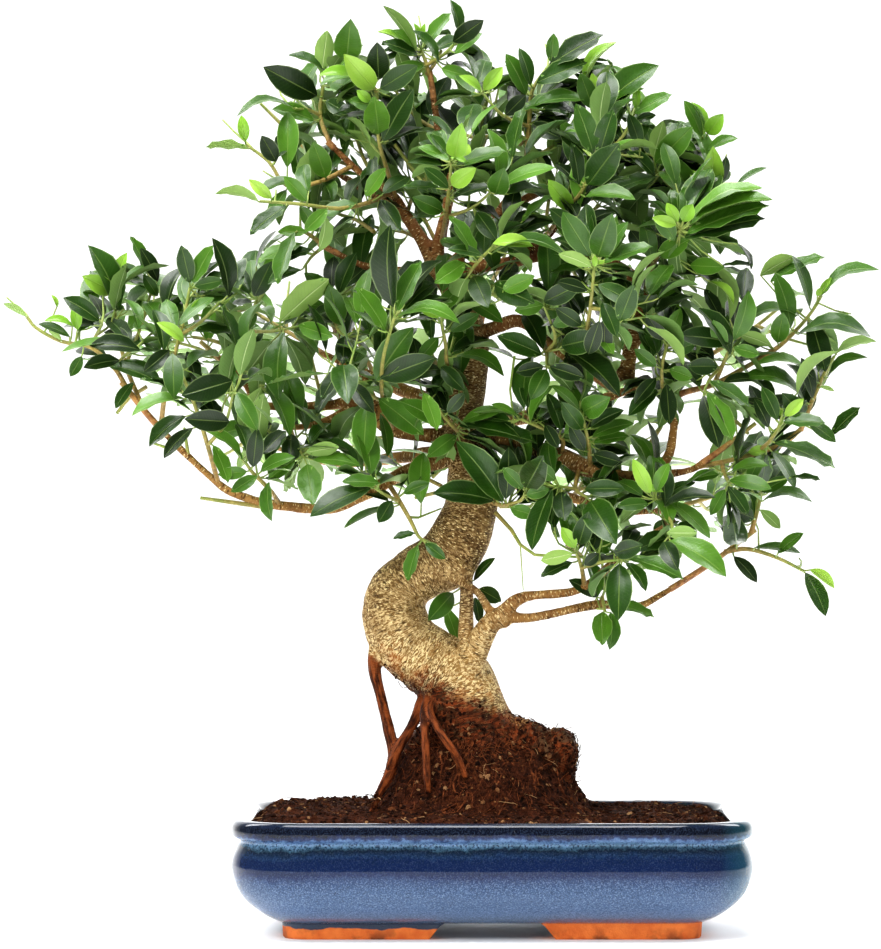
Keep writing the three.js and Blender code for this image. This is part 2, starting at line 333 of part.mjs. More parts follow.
    leaves: [[88, 249, 87, 210, 18, 'D'], [92, 250, 106, 230, 8, 'D'], [94, 253, 132, 238, 10, 'M'],
      [60, 262, 67, 285, 13, 'D'], [56, 256, 34, 251, 10, 'P'], [56, 250, 34, 240, 8, 'D'],
      [64, 248, 74, 256, 8, 'D'], [84, 256, 104, 262, 13, 'D'], [58, 260, 48, 274, 9, 'L']] },
  { name: 'spray_low_right_drop',
    stems: [[[76, 219, -15], [76, 226, -26], [78, 216, -34]]],
    leaves: [[76, 216, 76, 193, 14, 'M'], [82, 216, 81, 190, 10, 'M'], [73, 226, 53, 238, 9, 'D'],
      [82, 222, 112, 212, 7, 'M']] },
  { name: 'spray_right_inner',
    stems: [[[60, 313, -33], [58, 300, -54], [66, 294, -68]], [[58, 300, -54], [46, 302, -65]]],
    leaves: [[42, 300, 28, 258, 14, 'D'], [48, 298, 50, 278, 14, 'D'], [68, 292, 86, 262, 22, 'D'],
      [64, 300, 92, 300, 12, 'D'], [44, 306, 30, 318, 10, 'M']] },
  // Back of the crown, leafed by rule
  { name: 'spray_back_low_left', fill: 30,
    stems: [[[-137, 325, 103], [-165, 335, 118], [-190, 350, 124], [-214, 370, 124]], [[-165, 335, 118],
      [-192, 320, 146]], [[-165, 335, 118], [-158, 374, 150]]] },
  { name: 'spray_back_left_inner', fill: 30,
    stems: [[[-88, 320, 74], [-90, 334, 98], [-102, 368, 142]], [[-90, 334, 98], [-56, 342, 132]]] },
  { name: 'spray_back_left', fill: 30,
    stems: [[[-115, 393, 82], [-140, 408, 98], [-166, 424, 106], [-188, 444, 106]], [[-140, 408, 98],
      [-140, 424, 122], [-138, 442, 138]], [[-166, 424, 106], [-186, 418, 90], [-206, 420, 76]]] },
  { name: 'spray_back_left_mid', fill: 30,
    stems: [[[-78, 375, 60], [-88, 395, 78], [-98, 420, 92], [-104, 446, 98]], [[-88, 395, 78],
      [-62, 416, 124]]] },
  { name: 'spray_back_centre', fill: 30,
    stems: [[[-6, 421, 94], [0, 440, 118], [8, 456, 136], [12, 474, 146]], [[0, 440, 118], [20, 440, 134],
      [40, 446, 146]], [[0, 440, 118], [-20, 448, 134], [-40, 460, 144]]] },
  { name: 'spray_back_right', fill: 30,
    stems: [[[137, 384, 87], [160, 398, 92], [182, 412, 90], [204, 430, 82]], [[160, 398, 92],
      [164, 410, 114], [168, 426, 128]], [[182, 412, 90], [220, 398, 60]]] },
  { name: 'spray_back_right_mid', fill: 30,
    stems: [[[58, 356, 58], [66, 375, 84], [74, 395, 104], [78, 416, 116]], [[66, 375, 84],
      [88, 380, 108], [108, 390, 126]], [[66, 375, 84], [50, 382, 104], [38, 394, 118]]] },
  { name: 'spray_back_low_right', fill: 30,
    stems: [[[117, 285, 83], [142, 292, 92], [190, 312, 82]], [[142, 292, 92], [156, 284, 130]]] },
  { name: 'spray_back_low_mid', fill: 30,
    stems: [[[55, 294, 59], [60, 300, 84], [70, 326, 122]], [[60, 300, 84], [100, 312, 120]]] },
  { name: 'spray_back_top', fill: 30,
    stems: [[[-16, 526, 65], [-10, 540, 84], [-6, 556, 92], [-5, 568, 90]], [[-10, 540, 84],
      [32, 548, 110]], [[-10, 540, 84], [-48, 552, 112]]] },
  { name: 'spray_back_top_left', fill: 30,
    stems: [[[-115, 522, 62], [-132, 538, 74], [-158, 564, 72]], [[-132, 538, 74], [-124, 550, 98],
      [-112, 560, 112]]] },
  { name: 'spray_back_top_right', fill: 30,
    stems: [[[86, 524, 62], [106, 534, 76], [124, 544, 78], [140, 552, 72]], [[106, 534, 76],
      [92, 556, 112]], [[106, 534, 76], [138, 510, 94]]] },
];

// Leaf proportions: narrow oval blades with a short tip on slim stalks
const LEAF = {
  aspect: 0.42, youngAspect: 0.36, longest: 50, stalk: 8, stalkRadius: 0.75, keel: 1.3, bow: 0.07, arch: 0.2,
  leastLean: 1.03, nodeStep: 0.012,
};
// Blades smaller than this, width by length as seen, are left out unless they end the crown
const SMALLEST_BLADE = 280;
const CROWN = { x: -34, z: 420, halfX: 300, halfZ: 215, edge: 0.9 };
// Leaves set by rule: where they begin on a twig and on its forks, how far they stand off it in radians
// along it, near its tip and at it, how much they lift, lean outward and roll, and their lengths
const RULE = {
  bareFoot: 14, bareFork: 16, goldenTurn: Math.PI * (3 - Math.sqrt(5)), spread: 1.05, spreadNearTip: 0.5,
  spreadAtTip: 0.25, lift: 0.12, outward: 0.4, roll: 0.35, shortest: 36, longest: 49,
};
const TWIG = { start: 2, end: 1.25, sides: 3, fork: 0.8 };
// Turns tried in degrees, [up or down, sideways], for a leaf that meets another piece
const BENDS = [[0, 0], [9, 0], [-9, 0], [0, 12], [0, -12], [18, 8], [-18, -8], [18, -8], [-18, 8], [0, 26],
  [0, -26], [30, 0], [-30, 0], [30, 24], [-30, -24], [44, 0], [-44, 0]];
const SEED = 1717;

// Room kept round a leaf where it is judged against other pieces
const ROOM = 0.4;

// Seeded random numbers from 0 to 1
function dice(seed) {
  let state = seed;
  return () => {
    state = (state + 0x6d2b79f5) | 0;
    let mixed = Math.imul(state ^ (state >>> 15), 1 | state);
    mixed = (mixed + Math.imul(mixed ^ (mixed >>> 7), 61 | mixed)) ^ mixed;
    return ((mixed ^ (mixed >>> 14)) >>> 0) / 4294967296;
  };
}

// Where a point seen from the eye at [x, z] stands when it is y behind the trunk's plane
function place([x, z, y]) {
  const spread = 1 - y / EYE.y;
  return new THREE.Vector3(EYE.x + (x - EYE.x) * spread, y, EYE.z + (z - EYE.z) * spread);
}

// Solids

function solidFrom(points, triangles) {
  const vertProperties = new Float32Array(points.flatMap((point) => [point.x, point.y, point.z]));
  const triVerts = new Uint32Array(triangles);
  return new wasm.Manifold(new wasm.Mesh({ numProp: 3, vertProperties, triVerts }));
}

function solidOf(geometry) {
  const bare = geometry.clone();
  bare.deleteAttribute('normal');
  bare.deleteAttribute('uv');
  const merged = mergeVertices(bare, 1e-4);
  const vertProperties = new Float32Array(merged.attributes.position.array);
  const triVerts = new Uint32Array(merged.index.array);
  return new wasm.Manifold(new wasm.Mesh({ numProp: 3, vertProperties, triVerts }));
}

function geometryOf(solid) {
  const mesh = solid.getMesh();
  const geometry = new THREE.BufferGeometry();
  geometry.setAttribute('position', new THREE.BufferAttribute(new Float32Array(mesh.vertProperties), 3));
  geometry.setIndex(new THREE.BufferAttribute(new Uint32Array(mesh.triVerts), 1));
  geometry.computeVertexNormals();
  return geometry;
}

// Closed skin over rings that run anticlockwise seen from the far end, to a tip where one is given
function loft(rings, tip = null) {
  const points = rings.flat();
  const count = rings[0].length;
  const triangles = [];
  for (let k = 1; k < count - 1; k += 1) triangles.push(0, k + 1, k);
  for (let i = 0; i < rings.length - 1; i += 1) {
    for (let k = 0; k < count; k += 1) {
      const a = i * count + k;
      const b = i * count + (k + 1) % count;
      triangles.push(a, b, b + count, a, b + count, a + count);
    }
  }
  const last = (rings.length - 1) * count;
  if (tip) {
    points.push(tip);
    for (let k = 0; k < count; k += 1) triangles.push(last + k, last + (k + 1) % count, points.length - 1);
  } else {
    for (let k = 1; k < count - 1; k += 1) triangles.push(last, last + k, last + k + 1);
  }
  return solidFrom(points, triangles);
}

// A round bar along points, its rings turned as little as possible from one to the next
function bar(points, radii, sides) {
  const rings = [];
  let side = new THREE.Vector3(0, 1, 0);
  points.forEach((point, i) => {
    const ahead = points[Math.min(i + 1, points.length - 1)];
    const behind = points[Math.max(i - 1, 0)];
    const along = ahead.clone().sub(behind).normalize();
    if (Math.abs(along.dot(side)) > 0.96) side = new THREE.Vector3(1, 0, 0);
    side = side.clone().addScaledVector(along, -along.dot(side)).normalize();
    const across = along.clone().cross(side);
    rings.push(Array.from({ length: sides }, (_, k) => {
      const turn = (k / sides) * 2 * Math.PI;
      return point.clone().addScaledVector(side, radii[i] * Math.cos(turn))
        .addScaledVector(across, radii[i] * Math.sin(turn));
    }));
  });
  return loft(rings);
}

// A limb through rows of [x, z, y, radius], with grow added to its radius and to both ends
function branch(rows, sides, grow = 0) {
  const points = rows.map(place);
  const last = points.length - 1;
  if (grow > 0) {
    points[0].add(points[0].clone().sub(points[1]).setLength(grow));
    points[last].add(points[last].clone().sub(points[last - 1]).setLength(grow));
  }
  return bar(points, rows.map(([, , , radius]) => radius + grow), sides);
}

function fuse(solids) {
  return solids.reduce((whole, piece) => whole.add(piece));
}

// The largest of the bodies that a cut leaves
function largest(solid) {
  return solid.decompose().reduce((a, b) => (b.volume() > a.volume() ? b : a));
}

// Wood: trunk, roots and limbs in one grown piece

function wood(grow = 0) {
  return fuse([
    branch(TRUNK, TRUNK_SIDES, grow),
    ...ROOTS.map((rows) => branch(rows, ROOT_SIDES, grow)),
    ...AIR_ROOTS.map((rows) => branch(rows, THIN_LIMB_SIDES, grow)),
    ...LIMBS.map((rows) => branch(rows, rows[0][3] < THIN_LIMB ? THIN_LIMB_SIDES : LIMB_SIDES, grow)),
  ]);
}

// Pot

// A rounded rectangle, inset from the pot's widest outline, as a ring at height z
function potRing(inset, z, perCorner = 4) {
  const radius = Math.max(POT.corner - inset, 8);
  const x = POT.halfX - inset - radius;
  const y = POT.halfY - inset - radius;
  const ring = [];
  [[x, y], [-x, y], [-x, -y], [x, -y]].forEach(([cx, cy], corner) => {
    for (let k = 0; k <= perCorner; k += 1) {
      const turn = ((corner + k / perCorner) * Math.PI) / 2;
      ring.push(new THREE.Vector3(cx + radius * Math.cos(turn), cy + radius * Math.sin(turn), z));
    }
  });
  return ring;
}

function cutBlock(halfX, halfY, splay, height) {
  const outline = new THREE.Shape([
    new THREE.Vector2(-halfX - splay, -1), new THREE.Vector2(halfX + splay, -1),
    new THREE.Vector2(halfX, height), new THREE.Vector2(-halfX, height),
  ]);
  const block = new THREE.ExtrudeGeometry(outline, { depth: 2 * halfY, bevelEnabled: false });
  block.rotateX(Math.PI / 2);
  block.translate(0, halfY, 0);
  return block;
}

// Four feet left from a ring round the underside, its gaps splayed at the ends
function potFeet() {
  const sink = 2.5;
  const outer = loft([potRing(FOOT.inset, 0), potRing(FOOT.inset - 1, FOOT_HEIGHT + sink)]);
  const inner = loft([potRing(FOOT.inset + FOOT.width, -1), potRing(FOOT.inset + FOOT.width, FOOT_HEIGHT)]);
  const frontGap = solidOf(cutBlock(FOOT.gapX, POT.halfY, FOOT.splay, FOOT_HEIGHT));
  const sideGap = solidOf(cutBlock(FOOT.gapY, POT.halfX, FOOT.splay, FOOT_HEIGHT).rotateZ(Math.PI / 2));
  return outer.subtract(inner).subtract(frontGap).subtract(sideGap);
}

function pot() {
  const body = loft(POT_PROFILE.map(([inset, z]) => potRing(inset, z)));
  const holes = [-DRAIN_HOLE.x, DRAIN_HOLE.x].map((x) => {
    const hole = new THREE.CylinderGeometry(DRAIN_HOLE.radius, DRAIN_HOLE.radius, 40, 12);
    hole.rotateX(Math.PI / 2);
    hole.translate(x, 0, FOOT_HEIGHT);
    return solidOf(hole);
  });
  return body.add(potFeet()).subtract(holes[0]).subtract(holes[1]);
}

// Plastic mesh over a drain hole, lying on the pot's floor
const SCREEN_Z = FOOT_HEIGHT + POT.floor + GAP;

function drainScreen(x) {
  const plate = new THREE.BoxGeometry(SCREEN.side, SCREEN.side, SCREEN.thickness);
  plate.translate(x, 0, SCREEN_Z + SCREEN.thickness / 2);
  const pitch = (SCREEN.side - SCREEN.bar) / SCREEN.cells;
  let screen = solidOf(plate);
  for (let i = 0; i < SCREEN.cells; i += 1) {
    for (let j = 0; j < SCREEN.cells; j += 1) {
      const hole = new THREE.BoxGeometry(pitch - SCREEN.bar, pitch - SCREEN.bar, 2 * SCREEN.thickness);
      const middle = (SCREEN.cells - 1) / 2;
      hole.translate(x + (i - middle) * pitch, (j - middle) * pitch, SCREEN_Z + SCREEN.thickness / 2);
      screen = screen.subtract(solidOf(hole));
    }
  }
  return screen;
}

// Soil

function soilHeight(x, y, toWall) {
  const level = SOIL.bed - SOIL.fall * x;
  const bed = SOIL.edge + (level - SOIL.edge) * Math.sin(Math.min(toWall / SOIL.edgeWidth, 1) * Math.PI / 2);
  const out = Math.hypot((x - SOIL.centreX) / SOIL.ballX, y / SOIL.ballY);
  const lumps = 1.5 * Math.sin(0.09 * x + 1) * Math.cos(0.11 * y) + 0.9 * Math.sin(0.27 * x + 0.21 * y);
  return bed + SOIL.ball * Math.exp(-(out ** 6)) + lumps * Math.min(toWall / 10, 1);
}

// How far the soil reaches from the middle along a direction
function soilReach(ring, turn) {
  const heading = new THREE.Vector2(Math.cos(turn), Math.sin(turn));
  let reach = Infinity;
  ring.forEach((point, k) => {
    const next = ring[(k + 1) % ring.length];
    const edge = new THREE.Vector2(next.x - point.x, next.y - point.y);
    const start = new THREE.Vector2(point.x - SOIL.centreX, point.y);
    const slope = heading.cross(edge);
    const distance = start.cross(edge) / slope;
    const share = start.cross(heading) / slope;
    if (distance > 0 && share >= -1e-9 && share <= 1 + 1e-9) reach = Math.min(reach, distance);
  });
  return reach;
}

function soil(grownWood, screens) {
  const directions = 20;
  // The wall's inside, from the floor up to the soil's edge
  const wall = POT_PROFILE.slice(-4).reverse().map(([inset, z]) => ({ ring: potRing(inset + GAP, z), z }));
  wall[0].z += GAP;
  wall[wall.length - 1].z = SOIL.edge - 0.5;
  const spots = (radiusAt, heightAt) => Array.from({ length: directions }, (_, k) => {
    const turn = (k / directions) * 2 * Math.PI;
    const radius = radiusAt(turn);
    const x = SOIL.centreX + radius * Math.cos(turn);
    const y = radius * Math.sin(turn);
    return new THREE.Vector3(x, y, heightAt(x, y, turn, radius));
  });
  const rings = wall.map(({ ring, z }) => spots((turn) => soilReach(ring, turn) - GAP, () => z));
  const rim = wall[wall.length - 1].ring;
  const ballRadius = (turn) => 1 / Math.hypot(Math.cos(turn) / SOIL.ballX, Math.sin(turn) / SOIL.ballY);
  const steps = [[1, 0], [0.5, 0], [0, 1.16], [0, 1], [0, 0.84], [0, 0.6]];
  for (const [outside, ball] of steps) {
    const radiusAt = (turn) => (ball > 0 ? ball * ballRadius(turn)
      : THREE.MathUtils.lerp(1.18 * ballRadius(turn), soilReach(rim, turn) - GAP, outside));
    const toWall = (turn, radius) => soilReach(rim, turn) - GAP - radius;
    rings.push(spots(radiusAt, (x, y, turn, radius) => soilHeight(x, y, toWall(turn, radius))));
  }
  const top = new THREE.Vector3(SOIL.centreX, 0, SOIL.bed + SOIL.ball);
  let body = loft(rings, top);
  for (const x of screens) {
    const room = new THREE.BoxGeometry(SCREEN.side + 2 * GAP, SCREEN.side + 2 * GAP, 2 * SCREEN.thickness);
    room.translate(x, 0, SCREEN_Z + GAP);
    body = body.subtract(solidOf(room));
  }
  return largest(body.subtract(grownWood));
}

// Leaves

// A closed blade on its stalk: flat on top and keeled below, three corners round at its stations and two
// at the last before the tip. grow pads the outline and the thickness for judging its room.
function blade({ root, base, tip, face, width, bow }, grow = 0) {
  const chord = tip.clone().sub(base);
  const length = chord.length();
  const stalk = base.clone().sub(root).normalize();
  const rise = 4 * bow * length;
  const midrib = (s) => base.clone().addScaledVector(chord, s).addScaledVector(face, rise * s * (1 - s));
  const points = [];
  const station = (centre, along, halfWidth, keel) => {
    const up = face.clone().addScaledVector(along, -along.dot(face)).normalize();
    const across = up.clone().cross(along);
    points.push(centre.clone().addScaledVector(across, -halfWidth - grow).addScaledVector(up, grow));
    points.push(centre.clone().addScaledVector(across, halfWidth + grow).addScaledVector(up, grow));
    if (keel) points.push(centre.clone().addScaledVector(up, -keel - grow));
  };
  station(root, stalk, 0.7 * LEAF.stalkRadius, 0.5 * LEAF.keel);
  station(base, chord.clone().setLength(1).add(stalk).normalize(), LEAF.stalkRadius, LEAF.keel);
  station(midrib(0.3), chord.clone().normalize(), 0.46 * width, LEAF.keel);
  station(midrib(0.66), chord.clone().normalize(), 0.44 * width, 0);
  points.push(tip.clone().addScaledVector(chord, grow / length));
  const triangles = [0, 1, 2];
  for (const a of [0, 3]) {
    triangles.push(a, a + 3, a + 4, a, a + 4, a + 1);
    triangles.push(a + 1, a + 4, a + 5, a + 1, a + 5, a + 2, a + 2, a + 5, a + 3, a + 2, a + 3, a);
  }
  triangles.push(6, 9, 10, 6, 10, 7, 9, 11, 10, 7, 10, 8, 8, 10, 11, 8, 11, 9, 8, 9, 6);
  return solidFrom(points, triangles);
}

// The leaf turned about the foot of its blade: up or down, then sideways
function bend(leaf, [lift, swing]) {
  const chord = leaf.tip.clone().sub(leaf.base);
  const face = leaf.face.clone();
  const across = chord.clone().cross(face).normalize();
  for (const [axis, degrees] of [[across, lift], [face.clone(), swing]]) {
    chord.applyAxisAngle(axis, THREE.MathUtils.degToRad(degrees));
    face.applyAxisAngle(axis, THREE.MathUtils.degToRad(degrees));
  }
  return { ...leaf, tip: leaf.base.clone().add(chord), face };
}

// The nearest point of a spray's twigs to a point seen at [x, z], as a seen row. Leaves that share a
// twig's end sit one behind the other there, by their order.
function nearestOnTwigs(stems, x, z, order) {
  let best = { distance: Infinity };
  for (const rows of stems) {
    for (let i = 0; i < rows.length - 1; i += 1) {
      const [ax, az, ay] = rows[i];
      const [bx, bz, by] = rows[i + 1];
      const length = (bx - ax) ** 2 + (bz - az) ** 2;
      const along = ((x - ax) * (bx - ax) + (z - az) * (bz - az)) / length;
      const share = THREE.MathUtils.clamp(along, 0.1, 1 - LEAF.nodeStep * order);
      const row = [ax + (bx - ax) * share, az + (bz - az) * share, ay + (by - ay) * share];
      const distance = Math.hypot(x - row[0], z - row[1]);
      if (distance < best.distance - 0.5) best = { distance, row };
    }
  }
  return best;
}

function isModelled([baseX, baseZ, tipX, tipZ, seenWidth]) {
  const out = Math.hypot((tipX - CROWN.x) / CROWN.halfX, (tipZ - CROWN.z) / CROWN.halfZ);
  return out > CROWN.edge || seenWidth * Math.hypot(tipX - baseX, tipZ - baseZ) > SMALLEST_BLADE;
}

// A leaf read off its outline. Its true length comes from its width, its lean from what is hidden.
function seenLeaf(stems, [baseX, baseZ, tipX, tipZ, seenWidth, kind], order) {
  const lean = kind.includes('b') ? 1 : -1;
  const seen = Math.hypot(tipX - baseX, tipZ - baseZ);
  const length = Math.max(LEAF.leastLean * seen, Math.min(seenWidth / LEAF.aspect, LEAF.longest));
  const aspect = kind[0] === 'L' ? LEAF.youngAspect : LEAF.aspect;
  const width = Math.max(seenWidth, aspect * Math.min(length, LEAF.longest));
  const { row, distance } = nearestOnTwigs(stems, baseX, baseZ, order);
  const baseY = row[2] + lean * Math.sqrt(Math.max(LEAF.stalk ** 2 - distance ** 2, 0));
  const base = place([baseX, baseZ, baseY]);
  const tip = place([tipX, tipZ, baseY + lean * Math.sqrt(length ** 2 - seen ** 2)]);
  const along = tip.clone().sub(base).normalize();
  const sight = EYE.clone().sub(base).normalize();
  const toEye = sight.clone().addScaledVector(along, -along.dot(sight)).normalize();
  const upward = toEye.clone().cross(along);
  const outward = new THREE.Vector3(base.x - CROWN.x, 0, 60);
  if (upward.dot(outward) < 0) upward.negate();
  const open = Math.min(seenWidth / width, 1);
  const face = toEye.multiplyScalar(kind[0] === 'P' ? -open : open)
    .addScaledVector(upward, Math.sqrt(1 - open * open)).normalize();
  return { root: place(row), base, tip, face, width, bow: kind.includes('a') ? LEAF.arch : LEAF.bow };
}

// Leaves set along the twigs by rule: a spiral of half-open blades that turn up to the light
function ruledLeaves(stems, spacing, random) {
  const leaves = [];
  stems.forEach((rows, which) => {
    const path = rows.map(place);
    const last = path.length - 1;
    const wayOf = (i) => path[i + 1].clone().sub(path[i]).normalize();
    let turn = random() * 2 * Math.PI;
    let travelled = which === 0 ? RULE.bareFoot : RULE.bareFork;
    for (let i = 0; i < last; i += 1) {
      const length = path[i].distanceTo(path[i + 1]);
      for (; travelled < length; travelled += spacing) {
        const root = path[i].clone().addScaledVector(wayOf(i), travelled);
        const nearTip = i === last - 1 && travelled > length - spacing;
        leaves.push(ruledLeaf(root, wayOf(i), turn, nearTip ? RULE.spreadNearTip : RULE.spread, random));
        turn += RULE.goldenTurn;
      }
      travelled -= length;
    }
    leaves.push(ruledLeaf(path[last], wayOf(last - 1), turn, RULE.spreadAtTip, random));
  });
  return leaves;
}

function ruledLeaf(root, along, turn, spread, random) {
  const flat = new THREE.Vector3(0, 0, 1).cross(along).normalize();
  const over = along.clone().cross(flat);
  const out = flat.multiplyScalar(Math.cos(turn)).addScaledVector(over, Math.sin(turn));
  const heading = along.clone().multiplyScalar(Math.cos(spread)).addScaledVector(out, Math.sin(spread));
  heading.z += RULE.lift * (0.5 + random());
  heading.normalize();
  const length = RULE.shortest + (RULE.longest - RULE.shortest) * random();
  const base = root.clone().addScaledVector(heading, LEAF.stalk * (1 + 0.3 * random()));
  const light = new THREE.Vector3(heading.x, heading.y, 0).multiplyScalar(RULE.outward);
  light.z = 1;
  light.addScaledVector(out, RULE.roll * (random() - 0.5));
  const face = light.addScaledVector(heading, -heading.dot(light)).normalize();
  const tip = base.clone().addScaledVector(heading, length);
  const width = length * LEAF.aspect * (0.9 + 0.2 * random());
  return { root, base, tip, face, width, bow: LEAF.bow * (1 + 0.8 * random()) };
}

// Sprays

function twigs(stems) {
  return stems.map((rows, which) => {
    const thick = which === 0 ? 1 : TWIG.fork;
    const last = rows.length - 1;
    const radii = rows.map((_, i) => THREE.MathUtils.lerp(TWIG.start, TWIG.end, i / last) * thick);
    return bar(rows.map(place), radii, TWIG.sides);
  });
}

function overlaps(a, b) {
  const boxA = a.boundingBox();
  const boxB = b.boundingBox();
  for (let k = 0; k < 3; k += 1) if (boxA.min[k] > boxB.max[k] || boxB.min[k] > boxA.max[k]) return false;
  return !a.intersect(b).isEmpty();
}

// Every spray as one solid, its leaves bent clear of the wood, the soil, the pot and the other sprays
function growSprays(grownWood, ground) {
  const random = dice(SEED);
  const sprays = SPRAYS.map((spray) => {
    const stems = fuse(twigs(spray.stems));
    return { ...spray, solid: stems, pieces: [stems], blades: [] };
  });
  const longestFirst = (a, b) => b.tip.distanceTo(b.base) - a.tip.distanceTo(a.base);
  for (const spray of sprays) {
    const rows = (spray.leaves || []).filter(isModelled);
    const leaves = rows.map((row, order) => seenLeaf(spray.stems, row, order + 1)).sort(longestFirst);
    if (spray.fill) leaves.push(...ruledLeaves(spray.stems, spray.fill, random));
    const others = sprays.filter((other) => other !== spray).flatMap((other) => other.pieces);
    for (const leaf of leaves) {
      const free = BENDS.map((turn) => bend(leaf, turn)).find((bent) => {
        const room = blade({ ...bent, root: bent.base.clone().lerp(bent.tip, 0.02) }, ROOM);
        const whole = blade(bent, ROOM);
        return ![grownWood, ...ground, ...spray.blades].some((piece) => overlaps(room, piece))
          && !others.some((piece) => overlaps(whole, piece));
      });
      if (!free) continue;
      const solid = blade(free);
      spray.blades.push(solid);
      spray.pieces.push(solid);
    }
    spray.solid = largest(fuse(spray.pieces).subtract(grownWood));
  }
  return sprays;
}

// Materials

const finishes = {
  glaze: { color: 0x2f4f86, roughness: 0.18, metalness: 0 },
  soil: { color: 0x2c1710, roughness: 0.95, metalness: 0 },
  bark: { color: 0x9a7647, roughness: 0.8, metalness: 0 },
  leaf: { color: 0x2f5f22, roughness: 0.4, metalness: 0 },
  mesh: { color: 0x1c1c1c, roughness: 0.6, metalness: 0 },
};

function meshOf(name, solid, finish) {
  const mesh = new THREE.Mesh(geometryOf(solid), new THREE.MeshStandardMaterial(finishes[finish]));
  mesh.name = name;
  return mesh;
}

// Assembly

const bonsai = new THREE.Group();
const trunkSolid = wood();
// The wood with the clearance round it, a little over the gap where its flats meet at corners
const woodRoom = wood(GAP + 0.05);
const potSolid = pot();
const soilSolid = soil(woodRoom, [-DRAIN_HOLE.x, DRAIN_HOLE.x]);
bonsai.add(meshOf('pot', potSolid, 'glaze'));
bonsai.add(meshOf('drain_screen_left', drainScreen(-DRAIN_HOLE.x), 'mesh'));
bonsai.add(meshOf('drain_screen_right', drainScreen(DRAIN_HOLE.x), 'mesh'));
bonsai.add(meshOf('soil', soilSolid, 'soil'));
bonsai.add(meshOf('trunk', trunkSolid, 'bark'));
for (const spray of growSprays(woodRoom, [soilSolid, potSolid])) {
  bonsai.add(meshOf(spray.name, spray.solid, 'leaf'));
}

// The middle of the spread goes over the origin
const spread = new THREE.Box3().setFromObject(bonsai);
bonsai.position.set(-(spread.min.x + spread.max.x) / 2, -(spread.min.y + spread.max.y) / 2, 0);

export default bonsai;
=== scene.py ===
# A Chinese banyan bonsai in its glazed pot. Lengths in the tables are millimetres, measured from the middle
# of the pot and from the surface that its feet stand on.
import json
import math
import random
from collections import namedtuple

import bmesh
import bpy
import numpy as np
from mathutils import Matrix, Vector, noise

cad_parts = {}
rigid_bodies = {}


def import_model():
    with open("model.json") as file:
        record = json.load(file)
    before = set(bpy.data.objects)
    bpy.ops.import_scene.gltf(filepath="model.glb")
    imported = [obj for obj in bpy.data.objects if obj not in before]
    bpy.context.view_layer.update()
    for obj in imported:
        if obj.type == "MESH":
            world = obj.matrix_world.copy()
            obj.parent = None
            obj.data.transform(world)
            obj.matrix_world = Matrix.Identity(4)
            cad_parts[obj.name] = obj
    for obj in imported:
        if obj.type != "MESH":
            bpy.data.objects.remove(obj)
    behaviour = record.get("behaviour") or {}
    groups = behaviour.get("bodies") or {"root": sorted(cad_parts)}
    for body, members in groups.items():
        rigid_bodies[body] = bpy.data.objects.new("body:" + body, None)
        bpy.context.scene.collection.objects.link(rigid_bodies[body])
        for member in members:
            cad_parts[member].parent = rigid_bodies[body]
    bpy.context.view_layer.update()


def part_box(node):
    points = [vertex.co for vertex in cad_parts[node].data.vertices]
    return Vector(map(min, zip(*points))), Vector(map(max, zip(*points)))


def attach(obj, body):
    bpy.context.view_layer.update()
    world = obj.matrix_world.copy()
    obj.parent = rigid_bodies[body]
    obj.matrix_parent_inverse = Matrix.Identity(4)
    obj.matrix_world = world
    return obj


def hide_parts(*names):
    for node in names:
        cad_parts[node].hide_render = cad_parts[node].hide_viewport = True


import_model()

# Pot
# A shallow rounded rectangular pot of orange stoneware, thrown in one piece with its rolled rim and its
# four feet. It is dipped in a blue glaze that stops short of the feet, so that they stay bare clay.
MM = 0.001
pot_low, pot_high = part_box("pot")
POT_MIDDLE = Vector(((pot_low.x + pot_high.x) / 2, (pot_low.y + pot_high.y) / 2, 0))
POT_HALF_X = 175
POT_HALF_Y = 125
POT_CORNER = 52
LEAST_CORNER = 8
# Inset from the widest outline, and height: up the outside, over the rolled rim and down the inside
POT_PROFILE = [(33, 11), (24, 14.6), (15, 20.5), (9, 25.8), (5, 31), (1.8, 38), (0, 46), (0.3, 51),
    (1.4, 56), (3, 60), (4.5, 63.2), (4.8, 64.8), (3.8, 66.2), (1.3, 67.6), (0.2, 69.4), (0, 72.6),
    (0.6, 76), (2.4, 78.6), (5, 79.5), (8.6, 79.3), (12, 78.1), (14.2, 75.8), (15, 72), (15.6, 64),
    (17, 45), (26, 27), (42, 20)]
PROFILE_STEPS = 3
CORNER_STEPS = 14
LONG_SIDE_STEPS = 34
SHORT_SIDE_STEPS = 18
FOOT_HEIGHT = 11
FOOT_INSET = 35
FOOT_WIDTH = 20
FOOT_GAP_X = 34
FOOT_GAP_Y = 32
FOOT_SPLAY = 9
FOOT_SINK = 2.5
RIM_ROWS = 7
RIM_FADE = 4
DRAIN_RADIUS = 10
DRAIN_STEPS = 40
DRAIN_LEVELS = (3, 25)
DRAIN_X = 70


def in_frame(x, y, z):
    """A place given in millimetres, in the frame's metres."""
    return Vector((x * MM, y * MM, z * MM)) + POT_MIDDLE


def within(value, low=0.0, high=1.0):
    return min(max(value, low), high)


def turns_round(count):
    return [2 * math.pi * k / count for k in range(count)]


def plain_mesh(name, points, edges, faces):
    mesh = bpy.data.meshes.new(name)
    mesh.from_pydata([tuple(point) for point in points], edges, faces)
    return mesh


def mark(mesh, name, values, kind="FLOAT", domain="POINT"):
    """Writes a value at each place of a mesh, for its material or its rule to read."""
    marks = mesh.attributes.new(name, kind, domain)
    marks.data.foreach_set("vector" if kind == "FLOAT_VECTOR" else "value", values)


